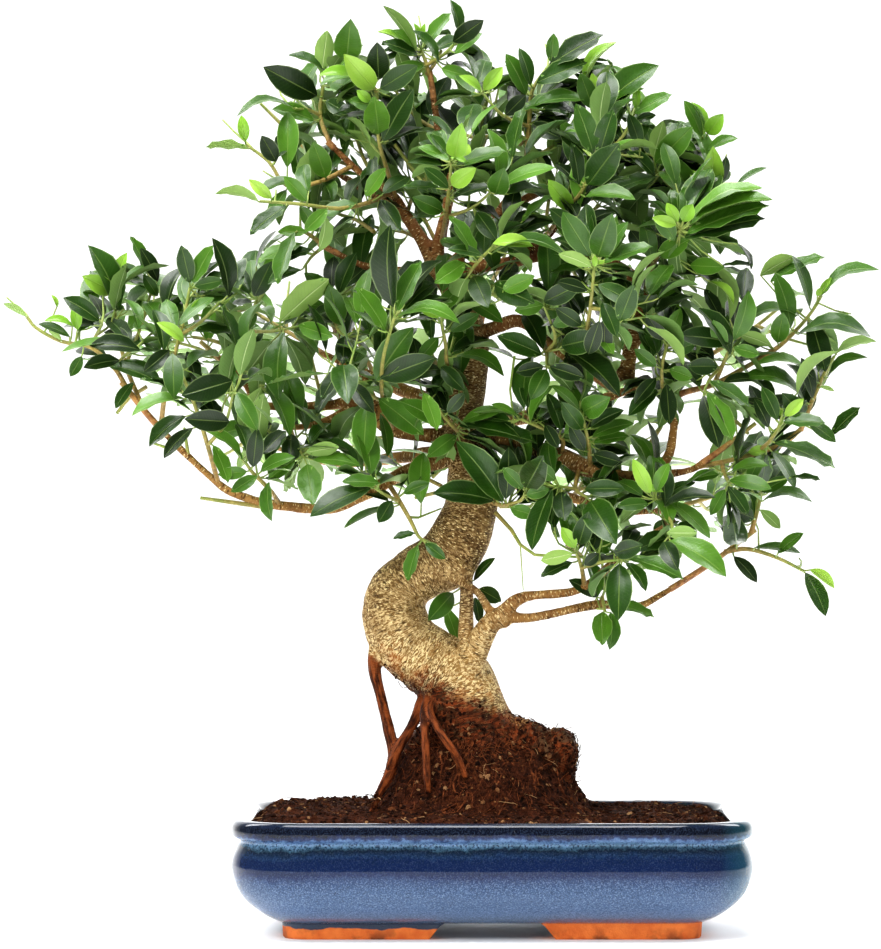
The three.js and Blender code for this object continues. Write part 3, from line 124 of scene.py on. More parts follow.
def mesh_piece(name, points, faces, finishes):
    mesh = plain_mesh(name, points, [], faces)
    for finish in finishes:
        mesh.materials.append(finish)
    mesh.polygons.foreach_set("use_smooth", [True] * len(mesh.polygons))
    mesh.update()
    piece = bpy.data.objects.new(name, mesh)
    bpy.context.scene.collection.objects.link(piece)
    return piece


def flowing(rows, steps):
    """A smooth line through every row of numbers, with steps points to each stretch."""
    rows = np.array(rows, float)
    ends = np.vstack([2 * rows[0] - rows[1], rows, 2 * rows[-1] - rows[-2]])
    line = []
    for i in range(1, len(ends) - 2):
        before, start, end, after = ends[i - 1:i + 3]
        for k in range(steps):
            t = k / steps
            bend = 2 * before - 5 * start + 4 * end - after
            curl = 3 * start - before - 3 * end + after
            line.append(0.5 * (2 * start + (end - before) * t + bend * t ** 2 + curl * t ** 3))
    line.append(rows[-1])
    return np.array(line)


def pot_ring(inset):
    radius = max(POT_CORNER - inset, LEAST_CORNER)
    x = POT_HALF_X - inset - radius
    y = POT_HALF_Y - inset - radius
    corners = [(x, y), (-x, y), (-x, -y), (x, -y)]
    ring = []
    for corner, (centre_x, centre_y) in enumerate(corners):
        for k in range(CORNER_STEPS + 1):
            turn = (corner + k / CORNER_STEPS) * math.pi / 2
            ring.append((centre_x + radius * math.cos(turn), centre_y + radius * math.sin(turn)))
        steps = LONG_SIDE_STEPS if corner % 2 == 0 else SHORT_SIDE_STEPS
        start = ring[-1]
        next_x, next_y = corners[(corner + 1) % 4]
        turn = (corner + 1) * math.pi / 2
        end = (next_x + radius * math.cos(turn), next_y + radius * math.sin(turn))
        for k in range(1, steps):
            ring.append(tuple(start[axis] + (end[axis] - start[axis]) * k / steps for axis in (0, 1)))
    return ring


def pot_rings(levels):
    """The pot's outline, drawn in by each inset, at each height."""
    return [[in_frame(x, y, z) for x, y in pot_ring(inset)] for inset, z in levels]


def stacked_rings(rings, closed_ends=True):
    count = len(rings[0])
    points = [point for ring in rings for point in ring]
    faces = []
    for low in range(0, (len(rings) - 1) * count, count):
        high = low + count
        for k in range(count):
            after = (k + 1) % count
            faces.append((low + k, low + after, high + after, high + k))
    if closed_ends:
        faces.append(tuple(reversed(range(count))))
        faces.append(tuple(range((len(rings) - 1) * count, len(rings) * count)))
    return points, faces


def cut_or_join(piece, other, operation):
    modifier = piece.modifiers.new(operation.lower(), "BOOLEAN")
    modifier.object = other
    modifier.operation = operation
    modifier.solver = "EXACT"


def settle(piece):
    """Turns the evaluated piece into a plain mesh and takes its modifiers off."""
    graph = bpy.context.evaluated_depsgraph_get()
    mesh = bpy.data.meshes.new_from_object(piece.evaluated_get(graph), preserve_all_data_layers=True,
        depsgraph=graph)
    piece.modifiers.clear()
    piece.data = mesh
    return piece


def hue(text):
    """A colour written as in a colour chart, made linear."""
    parts = [int(text[k:k + 2], 16) / 255 for k in (1, 3, 5)]
    return tuple(part / 12.92 if part < 0.04045 else ((part + 0.055) / 1.055) ** 2.4
        for part in parts) + (1.0,)


def node(tree, kind, feeds=None, **settings):
    """A node with its settings; what feeds its inputs is a value or another node's output."""
    made = tree.nodes.new(kind)
    for key, value in settings.items():
        setattr(made, key, value)
    for key, value in (feeds or {}).items():
        if isinstance(value, bpy.types.NodeSocket):
            tree.links.new(value, made.inputs[key])
        else:
            made.inputs[key].default_value = value
    return made


def tree_of(*values):
    return next(value.id_data for value in values if isinstance(value, bpy.types.NodeSocket))


def maths(operation, first, second=0.0, limited=False):
    return node(tree_of(first, second), "ShaderNodeMath", {0: first, 1: second}, operation=operation,
        use_clamp=limited).outputs[0]


def times(first, second):
    return maths("MULTIPLY", first, second)


def plus(first, second, limited=False):
    return maths("ADD", first, second, limited)


def less(first, second, limited=False):
    return maths("SUBTRACT", first, second, limited)


def most(first, second):
    return maths("MAXIMUM", first, second)


def axis_of(vector, axis):
    return node(tree_of(vector), "ShaderNodeSeparateXYZ", {0: vector}).outputs[axis]


def mixed(share, first, second):
    first, second = [hue(colour) if isinstance(colour, str) else colour for colour in (first, second)]
    return node(tree_of(share), "ShaderNodeMix", {0: share, 6: first, 7: second},
        data_type="RGBA").outputs[2]


def spread_over(value, low, high, start=0.0, end=1.0):
    """A value made to run from start to end while it goes from low to high."""
    ends = {0: value, 1: low, 2: high, 3: start, 4: end}
    return node(tree_of(value), "ShaderNodeMapRange", ends).outputs[0]


def ramp(value, stops):
    """Colours of a chart, given as (share, colour), blended along a value."""
    made = node(tree_of(value), "ShaderNodeValToRGB", {0: value})
    steps = made.color_ramp.elements
    for position, colour in stops[1:-1]:
        steps.new(position).color = hue(colour)
    for step, (position, colour) in ((steps[0], stops[0]), (steps[-1], stops[-1])):
        step.position, step.color = position, hue(colour)
    return made.outputs[0]


def new_group(name, kind, inputs, outputs):
    """A node group; an input's kind is that of its first value, or a socket's name."""
    group = bpy.data.node_groups.new(name, kind)
    for title, value in inputs.items():
        socket = {float: "Float", int: "Int", tuple: "Vector"}.get(type(value), value)
        entry = group.interface.new_socket(name=title, in_out="INPUT", socket_type=f"NodeSocket{socket}")
        if socket != value:
            entry.default_value = value
    for title, socket in outputs.items():
        group.interface.new_socket(name=title, in_out="OUTPUT", socket_type=f"NodeSocket{socket}")
    return group, node(group, "NodeGroupInput").outputs


def mottling_group():
    """Soft uneven patches, as in fired glaze, clay, bark and leaves."""
    group, entry = new_group("mottling", "ShaderNodeTree", {"Coordinates": "Vector",
        "Patches per metre": 100.0, "Detail": 4.0, "Low": 0.35, "High": 0.65, "Wander": 0.0},
        {"Mask": "Float"})
    patches = node(group, "ShaderNodeTexNoise", {"Vector": entry["Coordinates"],
        "Scale": entry["Patches per metre"], "Detail": entry["Detail"], "Distortion": entry["Wander"]})
    node(group, "NodeGroupOutput", {"Mask": spread_over(patches.outputs[0], entry["Low"], entry["High"])})
    return group


def flecks_group():
    """Small separate spots, as pits and specks in glaze, pores in bark and grit in peat."""
    group, entry = new_group("flecks", "ShaderNodeTree", {"Coordinates": "Vector",
        "Flecks per metre": 500.0, "Reach": 0.25, "Share": 0.5}, {"Mask": "Float"})
    cells = node(group, "ShaderNodeTexVoronoi", {"Vector": entry["Coordinates"],
        "Scale": entry["Flecks per metre"]})
    near = less(1.0, maths("DIVIDE", cells.outputs["Distance"], entry["Reach"]), limited=True)
    lot = node(group, "ShaderNodeSeparateColor", {0: cells.outputs["Color"]}).outputs[0]
    node(group, "NodeGroupOutput", {"Mask": times(near, maths("LESS_THAN", lot, entry["Share"]))})
    return group


MOTTLING = mottling_group()
FLECKS = flecks_group()


def mottling(coordinates, size, detail=4.0, low=0.35, high=0.65, wander=0.0):
    return node(tree_of(coordinates), "ShaderNodeGroup", {"Coordinates": coordinates,
        "Patches per metre": size, "Detail": detail, "Low": low, "High": high, "Wander": wander},
        node_tree=MOTTLING).outputs["Mask"]


def flecks(coordinates, size, reach=0.25, share=0.5):
    return node(tree_of(coordinates), "ShaderNodeGroup", {"Coordinates": coordinates,
        "Flecks per metre": size, "Reach": reach, "Share": share}, node_tree=FLECKS).outputs["Mask"]


def new_finish(name, **shader):
    """A material, its object coordinates, and its shader with what is the same all over."""
    finish = bpy.data.materials.new(name)
    finish.use_nodes = True
    surface = finish.node_tree.nodes["Principled BSDF"]
    for key, value in shader.items():
        surface.inputs[key.replace("_", " ").title().replace("Ior", "IOR")].default_value = value
    return finish, node(finish.node_tree, "ShaderNodeTexCoord").outputs["Object"], surface


def feed(surface, name, value):
    surface.id_data.links.new(value, surface.inputs[name])


def layer(surface, name, output="Fac"):
    """What a mark on the mesh says, at each place of it."""
    return node(surface.id_data, "ShaderNodeAttribute", attribute_name=name).outputs[output]


def bumped(surface, height, depth, strength=1.0):
    bump = node(tree_of(height), "ShaderNodeBump", {"Height": height, "Distance": depth,
        "Strength": strength})
    feed(surface, "Normal", bump.outputs[0])


def blue_glaze():
    finish, place, surface = new_finish("blue glaze", roughness=0.11, coat_weight=0.1, coat_roughness=0.05,
        specular_ior_level=0.3)
    height = axis_of(place, 2)
    run = mottling(place, 26.0, 3.0, 0.2, 0.8)
    fine_run = mottling(place, 240.0, 3.0, 0.3, 0.7)
    level = plus(height, times(less(run, 0.5), 0.0045))
    level = plus(level, times(less(fine_run, 0.5), 0.0024))
    share = maths("DIVIDE", level, 0.08, limited=True)
    # The pale band at the groove's lower lip is partly the glaze's own pale line and partly a painted
    # highlight
    bands = ramp(share, [(0.0, "#47586e"), (0.17, "#536680"), (0.24, "#4c6080"), (0.32, "#425674"),
        (0.42, "#364a68"), (0.48, "#2c4060"), (0.515, "#26395a"), (0.555, "#102046"), (0.59, "#0a1a3c"),
        (0.69, "#0b1a39"), (0.72, "#172a46"), (0.745, "#132236"), (0.765, "#101c28"), (0.79, "#344e60"),
        (0.812, "#54708a"), (0.832, "#5a7496"), (0.852, "#40597e"), (0.868, "#122146"), (0.90, "#070c1c"),
        (0.945, "#070a16"), (0.975, "#131b2d"), (1.0, "#141c2e")])
    # Crystals in the glaze: pale ones low down, dark ones all over and thickest under the groove
    pale = mottling(place, 1150.0, 2.0, 0.48, 0.66)
    low_down = spread_over(height, 0.046, 0.037, 0.05, 0.30)
    speckled = mixed(times(pale, low_down), bands, "#8fa6c6")
    dark = mottling(place, 800.0, 3.0, 0.48, 0.64)
    under_groove = times(spread_over(height, 0.052, 0.057), spread_over(height, 0.068, 0.065))
    speckled = mixed(times(dark, spread_over(under_groove, 0.0, 1.0, 0.35, 0.85)), speckled, "#0c1a2c")
    pits = flecks(place, 210.0, 0.12, 0.22)
    speckled = mixed(times(pits, 0.85), speckled, "#101722")
    side = axis_of(place, 0)
    inside = layer(surface, "inside")
    speckled = mixed(inside, speckled, "#0d1a1c")
    teal = spread_over(side, POT_MIDDLE.x + 0.150, POT_MIDDLE.x + 0.176)
    speckled = mixed(times(teal, 0.35), speckled, "#1f6a78")
    feed(surface, "Base Color", speckled)
    ripple = less(mottling(place, 55.0, 2.0, 0.1, 0.9), pits)
    bumped(surface, ripple, 0.0007, 0.6)
    return finish


def bare_clay():
    finish, place, surface = new_finish("bare clay", roughness=0.78)
    height = axis_of(place, 2)
    clay = mixed(mottling(place, 130.0), "#c8642c", "#dd7d3c")
    stains = times(mottling(place, 75.0, 6.0, 0.50, 0.62), spread_over(height, 0.009, 0.0))
    clay = mixed(times(stains, 0.8), clay, "#5d3520")
    # Glaze that ran down over the upper half of the left foot
    side = axis_of(place, 0)
    run = plus(height, times(mottling(place, 40.0), 0.003))
    left = spread_over(side, POT_MIDDLE.x - 0.010, POT_MIDDLE.x - 0.030)
    drip = times(spread_over(run, 0.0084, 0.0090), left)
    top_edge = spread_over(height, 0.0112, 0.0118)
    glazed = most(drip, top_edge)
    feed(surface, "Base Color", mixed(glazed, clay, "#2b374a"))
    feed(surface, "Roughness", spread_over(glazed, 0.0, 1.0, 0.78, 0.2))
    bumped(surface, mottling(place, 900.0), 0.0003, 0.5)
    return finish


GLAZE = blue_glaze()
CLAY = bare_clay()

profile = flowing(POT_PROFILE, PROFILE_STEPS)
pot = mesh_piece("glazed_pot", *stacked_rings(pot_rings(profile)), [GLAZE, CLAY])
dark_from = int(np.argmax(profile[:, 1])) + RIM_ROWS
inside = [within((row - dark_from) / RIM_FADE) for row in range(len(profile))]
mark(pot.data, "inside", np.repeat(inside, len(pot_ring(0))))


def clay_piece(name, rings):
    piece = mesh_piece(name, *stacked_rings(rings), [GLAZE, CLAY])
    piece.data.polygons.foreach_set("material_index", [1] * len(piece.data.polygons))
    return piece


feet = clay_piece("feet", pot_rings([(FOOT_INSET + 1.2, 0), (FOOT_INSET, 1.2),
    (FOOT_INSET - 0.6, FOOT_HEIGHT - 1.5), (FOOT_INSET - 1.6, FOOT_HEIGHT + FOOT_SINK)]))
FOOT_INNER = FOOT_INSET + FOOT_WIDTH
middle_cut = clay_piece("middle_cut", pot_rings([(FOOT_INNER - 2, -1), (FOOT_INNER, 1),
    (FOOT_INNER, FOOT_HEIGHT)]))


def gap_cutter(name, half, reach, turned):
    """A splayed block that parts two feet."""
    outline = [(-half - FOOT_SPLAY, -1), (half + FOOT_SPLAY, -1), (half + 1, FOOT_HEIGHT - 2),
        (half - 2, FOOT_HEIGHT), (-half + 2, FOOT_HEIGHT), (-half - 1, FOOT_HEIGHT - 2)]
    rings = []
    for side in (reach, -reach):
        rings.append([in_frame(side, u, z) if turned else in_frame(u, side, z) for u, z in outline])
    cutter = clay_piece(name, rings)
    shell = bmesh.new()
    shell.from_mesh(cutter.data)
    bmesh.ops.recalc_face_normals(shell, faces=shell.faces)
    shell.to_mesh(cutter.data)
    shell.free()
    return cutter


def drain_cutter(x):
    rings = [[in_frame(x + DRAIN_RADIUS * math.cos(turn), DRAIN_RADIUS * math.sin(turn), z)
        for turn in turns_round(DRAIN_STEPS)] for z in DRAIN_LEVELS]
    return mesh_piece("drain_cutter", *stacked_rings(rings), [GLAZE, CLAY])


cutters = [middle_cut, gap_cutter("front_gap", FOOT_GAP_X, POT_HALF_Y, False),
    gap_cutter("side_gap", FOOT_GAP_Y, POT_HALF_X, True)]
for cutter in cutters:
    cut_or_join(feet, cutter, "DIFFERENCE")
settle(feet)
drains = [drain_cutter(-DRAIN_X), drain_cutter(DRAIN_X)]
cut_or_join(pot, feet, "UNION")
for drain in drains:
    cut_or_join(pot, drain, "DIFFERENCE")
settle(pot)
for tool in cutters + drains + [feet]:
    bpy.data.objects.remove(tool)
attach(pot, "root")
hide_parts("pot")


# Drain screens
# Two squares of black plastic mesh, cut from a sheet, that lie over the drain holes and hold the soil back.
SCREEN_SIDE = 34
SCREEN_BAR = 1.0
SCREEN_THICKNESS = 1.2
SCREEN_CELLS = 9
SCREEN_FLOOR = 20.3
BAR_LEVELS = (0.6, 1.4)


def plastic():
    finish, place, surface = new_finish("black plastic mesh", roughness=0.6)
    feed(surface, "Base Color", mixed(mottling(place, 300.0), "#161616", "#2b2520"))
    bumped(surface, mottling(place, 1500.0), 0.0001)
    return finish


def new_rule(name, **inputs):
    """A rule that grows something on a mesh: its node tree and the sizes that go into it."""
    inputs = {key.replace("_", " ").capitalize(): value for key, value in inputs.items()}
    return new_group(name, "GeometryNodeTree", {"Geometry": "Geometry", **inputs}, {"Geometry": "Geometry"})


def grow(group, kind, feeds, **settings):
    return node(group, "GeometryNode" + kind, feeds, **settings).outputs[0]


def named(group, name, kind="FLOAT"):
    return grow(group, "InputNamedAttribute", {"Name": name}, data_type=kind)


def vector_of(group, *parts):
    return node(group, "ShaderNodeCombineXYZ", dict(enumerate(parts))).outputs[0]


def joined(group, pieces):
    both = node(group, "GeometryNodeJoinGeometry")
    for piece in pieces:
        group.links.new(piece, both.inputs[0])
    return both.outputs[0]


def made_real(group, pieces, finish):
    real = grow(group, "RealizeInstances", {"Geometry": pieces})
    return grow(group, "SetMaterial", {"Geometry": real, "Material": finish})


def hand_out(group, pieces):
    node(group, "NodeGroupOutput", {"Geometry": pieces})
    return group


def screen_rule():
    """Bars set side by side both ways, at the points of a line."""
    group, entry = new_rule("drain screen", side=SCREEN_SIDE * MM, bar=SCREEN_BAR * MM, bars=SCREEN_CELLS
        + 1, thickness=SCREEN_THICKNESS * MM, place="Vector", finish="Material")
    side, bar = entry["Side"], entry["Bar"]
    run = less(side, bar)
    pitch = maths("DIVIDE", run, less(entry["Bars"], 1.0))
    first = times(run, -0.5)
    half_thickness = times(entry["Thickness"], 0.5)
    sheets = []
    for turned, level in enumerate(BAR_LEVELS):
        start = vector_of(group, *(0.0, first) if turned else (first, 0.0))
        step = vector_of(group, *(0.0, pitch) if turned else (pitch, 0.0))
        line = grow(group, "MeshLine", {"Count": entry["Bars"], "Start Location": start, "Offset": step})
        size = vector_of(group, *(side, bar) if turned else (bar, side), half_thickness)
        set_out = grow(group, "InstanceOnPoints", {"Points": line,
            "Instance": grow(group, "MeshCube", {0: size})})
        lifted = vector_of(group, 0.0, 0.0, times(half_thickness, level))
        sheets.append(grow(group, "SetPosition", {"Geometry": set_out, "Offset": lifted}))
    moved = grow(group, "Transform", {"Geometry": joined(group, sheets), "Translation": entry["Place"]})
    return hand_out(group, made_real(group, moved, entry["Finish"]))


def grown(name, start, rule, **settings):
    """Runs a rule on a mesh and keeps what it makes as a plain mesh."""
    piece = bpy.data.objects.new(name, start)
    bpy.context.scene.collection.objects.link(piece)
    modifier = piece.modifiers.new("rule", "NODES")
    modifier.node_group = rule
    for item in rule.interface.items_tree:
        key = item.name.replace(" ", "_").lower()
        if item.in_out == "INPUT" and key in settings:
            modifier[item.identifier] = settings.pop(key)
    if settings:
        raise ValueError(f"{name}: no such input: {list(settings)}")
    return settle(piece)


SCREEN_RULE = screen_rule()
PLASTIC = plastic()
for side, x in (("left", -DRAIN_X), ("right", DRAIN_X)):
    screen = grown(f"mesh_screen_{side}", bpy.data.meshes.new("screen"), SCREEN_RULE,
        place=in_frame(x, 0, SCREEN_FLOOR), finish=PLASTIC)
    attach(screen, "root")
    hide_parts(f"drain_screen_{side}")


# Soil
# Dark brown peat mix pressed into the pot, with the root ball standing out of it under the trunk. The ball
# is peat held by fine red-brown roots, and crumbs of peat and straw lie loose over all of it.
SOIL_BED = 79.5
SOIL_FALL = 0.018
SOIL_EDGE = 73.5
SOIL_DEPTH = 42
EDGE_WIDTH = 15
BALL_HEIGHT = 47.5
BALL_X = 66
BALL_Y = 58
BALL_MIDDLE = -7
WALL_INSET = 15.7
SOIL_TURNS = 220
SOIL_RINGS = 74
UNDERSIDE_X = 0.93
UNDERSIDE_Y = 0.9
PEAT_GLOSS = 0.12
FEW_LARGE = 2.2
CRUMB_FORMS = 4
STRAND_FORMS = 5
STRAND_BENDS = 5


def roundness(x, y):
    """How far out a point lies, as a share of the way to the root ball's foot."""
    return math.hypot((x - BALL_MIDDLE) / BALL_X, y / BALL_Y)


def soil_height(x, y, to_wall):
    level = SOIL_BED - SOIL_FALL * x
    bed = SOIL_EDGE + (level - SOIL_EDGE) * math.sin(min(to_wall / EDGE_WIDTH, 1) * math.pi / 2)
    ball = math.exp(-roundness(x, y) ** 6)
    lumps = 1.5 * math.sin(0.09 * x + 1) * math.cos(0.11 * y) + 0.9 * math.sin(0.27 * x + 0.21 * y)
    clods = 2.4 * noise.noise((x / 17, y / 17, 1)) + 1.3 * noise.noise((x / 6.5, y / 6.5, 5))
    grit = 0.75 * noise.noise((x / 2.6, y / 2.6, 9))
    turn = math.atan2(y, x - BALL_MIDDLE)
    ridges = 3.2 * ball * (1 - ball) * 4 * noise.noise((turn * 5, roundness(x, y) * 2, 3))
    return bed + BALL_HEIGHT * ball + (lumps + clods + ridges) * min(to_wall / 10, 1) + grit


def reach_of(ring, turn):
    """How far a closed outline lies from the ball's middle in one direction."""
    way = Vector((math.cos(turn), math.sin(turn)))
    best = math.inf
    for point, end in zip(ring, ring[1:] + ring[:1]):
        edge = Vector((end[0] - point[0], end[1] - point[1]))
        start = Vector((point[0] - BALL_MIDDLE, point[1]))
        slope = way.x * edge.y - way.y * edge.x
        if abs(slope) < 1e-9:
            continue
        distance = (start.x * edge.y - start.y * edge.x) / slope
        share = (start.x * way.y - start.y * way.x) / slope
        if distance > 0 and -1e-6 <= share <= 1 + 1e-6:
            best = min(best, distance)
    return best


def soil_point(turn, reach, share):
    radius = reach * share
    x = BALL_MIDDLE + radius * math.cos(turn)
    y = radius * math.sin(turn)
    return in_frame(x, y, soil_height(x, y, reach - radius))


wall_ring = pot_ring(WALL_INSET)
ways = [(turn, reach_of(wall_ring, turn)) for turn in turns_round(SOIL_TURNS)]
soil_rings = [[in_frame(BALL_MIDDLE + reach * UNDERSIDE_X * math.cos(turn),
    reach * UNDERSIDE_Y * math.sin(turn), SOIL_EDGE - SOIL_DEPTH) for turn, reach in ways]]
for row in range(SOIL_RINGS):
    soil_rings.append([soil_point(turn, reach, 1 - row / SOIL_RINGS) for turn, reach in ways])


def peat():
    finish, place, surface = new_finish("peat and fine roots", roughness=0.92,
        specular_ior_level=PEAT_GLOSS)
    crumb = mottling(place, 420.0, 6.0, 0.38, 0.62)
    colour = mixed(crumb, "#140a06", "#3c2014")
    clod = mottling(place, 60.0, 4.0, 0.42, 0.6)
    colour = mixed(times(clod, 0.4), colour, "#552c1a")
    fibre = node(tree_of(place), "ShaderNodeTexNoise", {"Vector": place, "Scale": 300.0, "Detail": 2.0,
        "Distortion": 2.5})
    strand = times(spread_over(fibre.outputs[0], 0.60, 0.66), 0.5)
    colour = mixed(strand, colour, "#7a4a2a")
    colour = mixed(times(flecks(place, 330.0, 0.3, 0.10), 0.8), colour, "#b98a58")
    feed(surface, "Base Color", colour)
    bumped(surface, plus(crumb, strand), 0.0016, 0.9)
    return finish


def crumb_finish(name, palest):
    finish, place, surface = new_finish(name, roughness=0.9, specular_ior_level=PEAT_GLOSS)
    base = ramp(layer(surface, "lot"), [(0.0, "#120804"), (0.45, "#321a10"), (0.8, "#4e2b19"),
        (0.92, "#6d4126"), (1.0, palest)])
    rough = mottling(place, 900.0, 4.0)
    feed(surface, "Base Color", mixed(times(rough, 0.5), base, "#23120b"))
    bumped(surface, rough, 0.0008, 0.8)
    return finish


def chance_of(group, seed):
    """A number from 0 to 1 for each of the bits."""
    return node(group, "FunctionNodeRandomValue", {2: 0.0, 3: 1.0, 8: seed}, data_type="FLOAT").outputs[1]


def scatter_rule():
    """Loose bits strewn over a surface, each turned and sized by chance, some of them long."""
    group, entry = new_rule("strewn bits", forms="Collection", bits_per_square_metre=1000.0,
        smallest=1 * MM, largest=3 * MM, tumble=3.14, seed=1, finish="Material")
    tumble, seed = entry["Tumble"], entry["Seed"]
    density = times(named(group, "strewn"), entry["Bits per square metre"])
    spots = node(group, "GeometryNodeDistributePointsOnFaces", {"Mesh": entry["Geometry"],
        "Density": density, "Seed": seed}).outputs
    least = times(tumble, -1.0)
    spin = node(group, "FunctionNodeRandomValue", {0: vector_of(group, least, least, -math.pi),
        1: vector_of(group, tumble, tumble, math.pi), "Seed": seed}, data_type="FLOAT_VECTOR").outputs[0]
    skewed = maths("POWER", chance_of(group, 7), FEW_LARGE)
    wide = spread_over(skewed, 0.0, 1.0, entry["Smallest"], entry["Largest"])
    strewn = grow(group, "InstanceOnPoints", {"Points": spots["Points"],
        "Instance": forms_of(group, entry["Forms"]), "Pick Instance": True, "Rotation": spots["Rotation"],
        "Scale": wide})
    turned = grow(group, "RotateInstances", {"Instances": strewn, "Rotation": spin, "Local Space": True})
    marked = grow(group, "StoreNamedAttribute", {"Geometry": turned, "Name": "lot",
        "Value": chance_of(group, 11)}, data_type="FLOAT", domain="INSTANCE")
    return hand_out(group, made_real(group, marked, entry["Finish"]))


def forms_of(group, box):
    return grow(group, "CollectionInfo", {"Collection": box, "Separate Children": True,
        "Reset Children": True})


def mesh_of(name, shell):
    mesh = bpy.data.meshes.new(name)
    shell.to_mesh(mesh)
    shell.free()
    return mesh


def crumb_form(number):
    """A small broken clod: a ball of twenty faces pulled out of round."""
    clod = bmesh.new()
    bmesh.ops.create_icosphere(clod, subdivisions=1, radius=0.5)
    for corner in clod.verts:
        pull = noise.noise(corner.co * 1.7 + Vector((number * 3.1, 0, 0)))
        corner.co *= 1 + 0.8 * pull
        corner.co.z *= 0.65
    return mesh_of(f"crumb_{number}", clod)


def strand_form(number, thickness):
    """A short bent root or straw, one unit long, three-sided and pointed at its ends."""
    chance = random.Random(100 + number)
    path = [Vector((0, 0, 0))]
    heading = Vector((1, 0, 0.25))
    for _ in range(STRAND_BENDS):
        heading += Vector((0, chance.uniform(-0.7, 0.7), chance.uniform(-0.45, 0.25)))
        heading.normalize()
        path.append(path[-1] + heading / STRAND_BENDS)
    points = [path[0]]
    for spot in path[1:-1]:
        for turn in (0, 2.1, 4.2):
            points.append(spot + Vector((0, math.cos(turn), math.sin(turn))) * thickness)
    points.append(path[-1])
    faces = [(0, 1 + (k + 1) % 3, 1 + k) for k in range(3)]
    last = 1 + 3 * (STRAND_BENDS - 2)
    for here in range(1, last, 3):
        for k in range(3):
            faces.append((here + k, here + (k + 1) % 3, here + 3 + (k + 1) % 3, here + 3 + k))
    faces += [(last + k, last + (k + 1) % 3, len(points) - 1) for k in range(3)]
    return plain_mesh(f"strand_{number}", points, [], faces)


def form_box(name, meshes):
    box = bpy.data.collections.new(name)
    bpy.context.scene.collection.children.link(box)
    for mesh in meshes:
        box.objects.link(bpy.data.objects.new(mesh.name, mesh))
    return box


def empty_box(box):
    for form in list(box.objects):
        bpy.data.objects.remove(form)
    bpy.data.collections.remove(box)


def strewn_ground(name, share_at):
    """The soil's top as a surface to strew on, with how thickly at each point."""
    points, faces = stacked_rings(soil_rings[1:], closed_ends=False)
    ground = plain_mesh(name, points, [], faces)
    mark(ground, "strewn", [share_at(*((point - POT_MIDDLE) / MM)) for point in points])
    return ground


def strewn_crumbs(name, ground, **settings):
    box = form_box("crumbs", [crumb_form(k) for k in range(CRUMB_FORMS)])
    crumbs = grown(name, ground, SCATTER, forms=box, tumble=0.9, finish=CRUMBS, **settings)
    empty_box(box)
    return crumbs


def strewn_strands(name, ground, thickness, **settings):
    box = form_box("strands", [strand_form(k, thickness) for k in range(STRAND_FORMS)])
    strands = grown(name, ground, SCATTER, forms=box, finish=STRAW, **settings)
    empty_box(box)
    return strands


def ball_share(x, y, z):
    """Fibres lie thickest on the root ball."""
    return 0.25 + within((1.25 - roundness(x, y)) * 2.5)


PEAT = peat()
soil = mesh_piece("soil_and_root_ball", *stacked_rings(soil_rings), [PEAT])
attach(soil, "root")
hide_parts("soil")

SCATTER = scatter_rule()
CRUMBS = crumb_finish("loose peat", "#b08a62")
STRAW = crumb_finish("straw and fibres", "#cda678")
crumbs = strewn_crumbs("peat_crumbs", strewn_ground("crumb_ground", lambda x, y, z: 1.0), seed=3,
    bits_per_square_metre=100000.0, smallest=0.9 * MM, largest=4.4 * MM)
fibres = strewn_strands("loose_fibres", strewn_ground("fibre_ground", ball_share), 0.02, seed=8,
    tumble=0.35, bits_per_square_metre=90000.0, smallest=4 * MM, largest=16 * MM)
for piece in (crumbs, fibres):
    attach(piece, "root")


# Trunk, roots and branches
# Living wood grown as one piece: a trunk bent into a crook, limbs that leave it at swollen collars, and
# roots that grip the ball. The bark is thin and tan with pale pores across the grain, redder on the limbs.
EYE = Vector((-34.6, -3400, 310))
TRUNK_SIDES = 20
BRANCH_SIDES = 12


def table(text):
    """Lines of rows of numbers: a semicolon ends a line, and a comma a row."""
    return [[tuple(map(float, row.split())) for row in line.split(",")] for line in text.split(";")]


# Each row is x, z, y, radius
TRUNK = table(
    "-8 96 2 27, -11 120 0 32, -17 145 -1 29.5, -23 168 -1 26, -41 182 0 23.3, -58 195 2 22.6, "
    "-66 215 4 21.9, -61 232 4 20.5, -48 243 2 20.2, -31.5 252 0 21, -21 266.5 -2 20.2, -15 282 -2 19.2, "
    "-13 296 -1 18.5, -14 320 1 15.9, -19 347 2 14.7, -21 364 3 17, -19 381 3 16.4, -17 395 2 15, "
    "-14 405 1 12.3, -21 424 0 8.4, -38 455 0 6.8")[0]
ROOTS = table(
    "0 126 -2 22, 28 121 -6 18, 42 109 -8 16.5, 40 76 -4 9; -20 128 8 20, -42 114 30 12, -60 78 52 5; "
    "0 126 12 20, 20 112 34 12, 38 76 54 5; -28 134 -2 17, -48 122 -4 12, -68 86 2 6; -10 126 -12 18, "
    "-3 113 -32 10.5, 10 76 -52 4")
AIR_ROOTS = table(
    "-78 192 0 6, -80 178 -1 5, -75 156 -8 3.9, -70 135 -18 3.8, -67 118 -26 4, -70 104 -32 3.6, "
    "-77 91 -38 3, -82 78 -42 2.4; -42 158 -12 4, -46 145 -24 3.4, -45 128 -40 3, -44 106 -51 3, "
    "-43 92 -54 2.4; -38 156 -14 4, -41 146 -27 3, -31 128 -46 2.8, -23 117 -52 2.6, -17 102 -54 2.2; "
    "-46 156 -4 5, -53 140 -16 4, -62 125 -27 3.8, -69 110 -32 3.6")
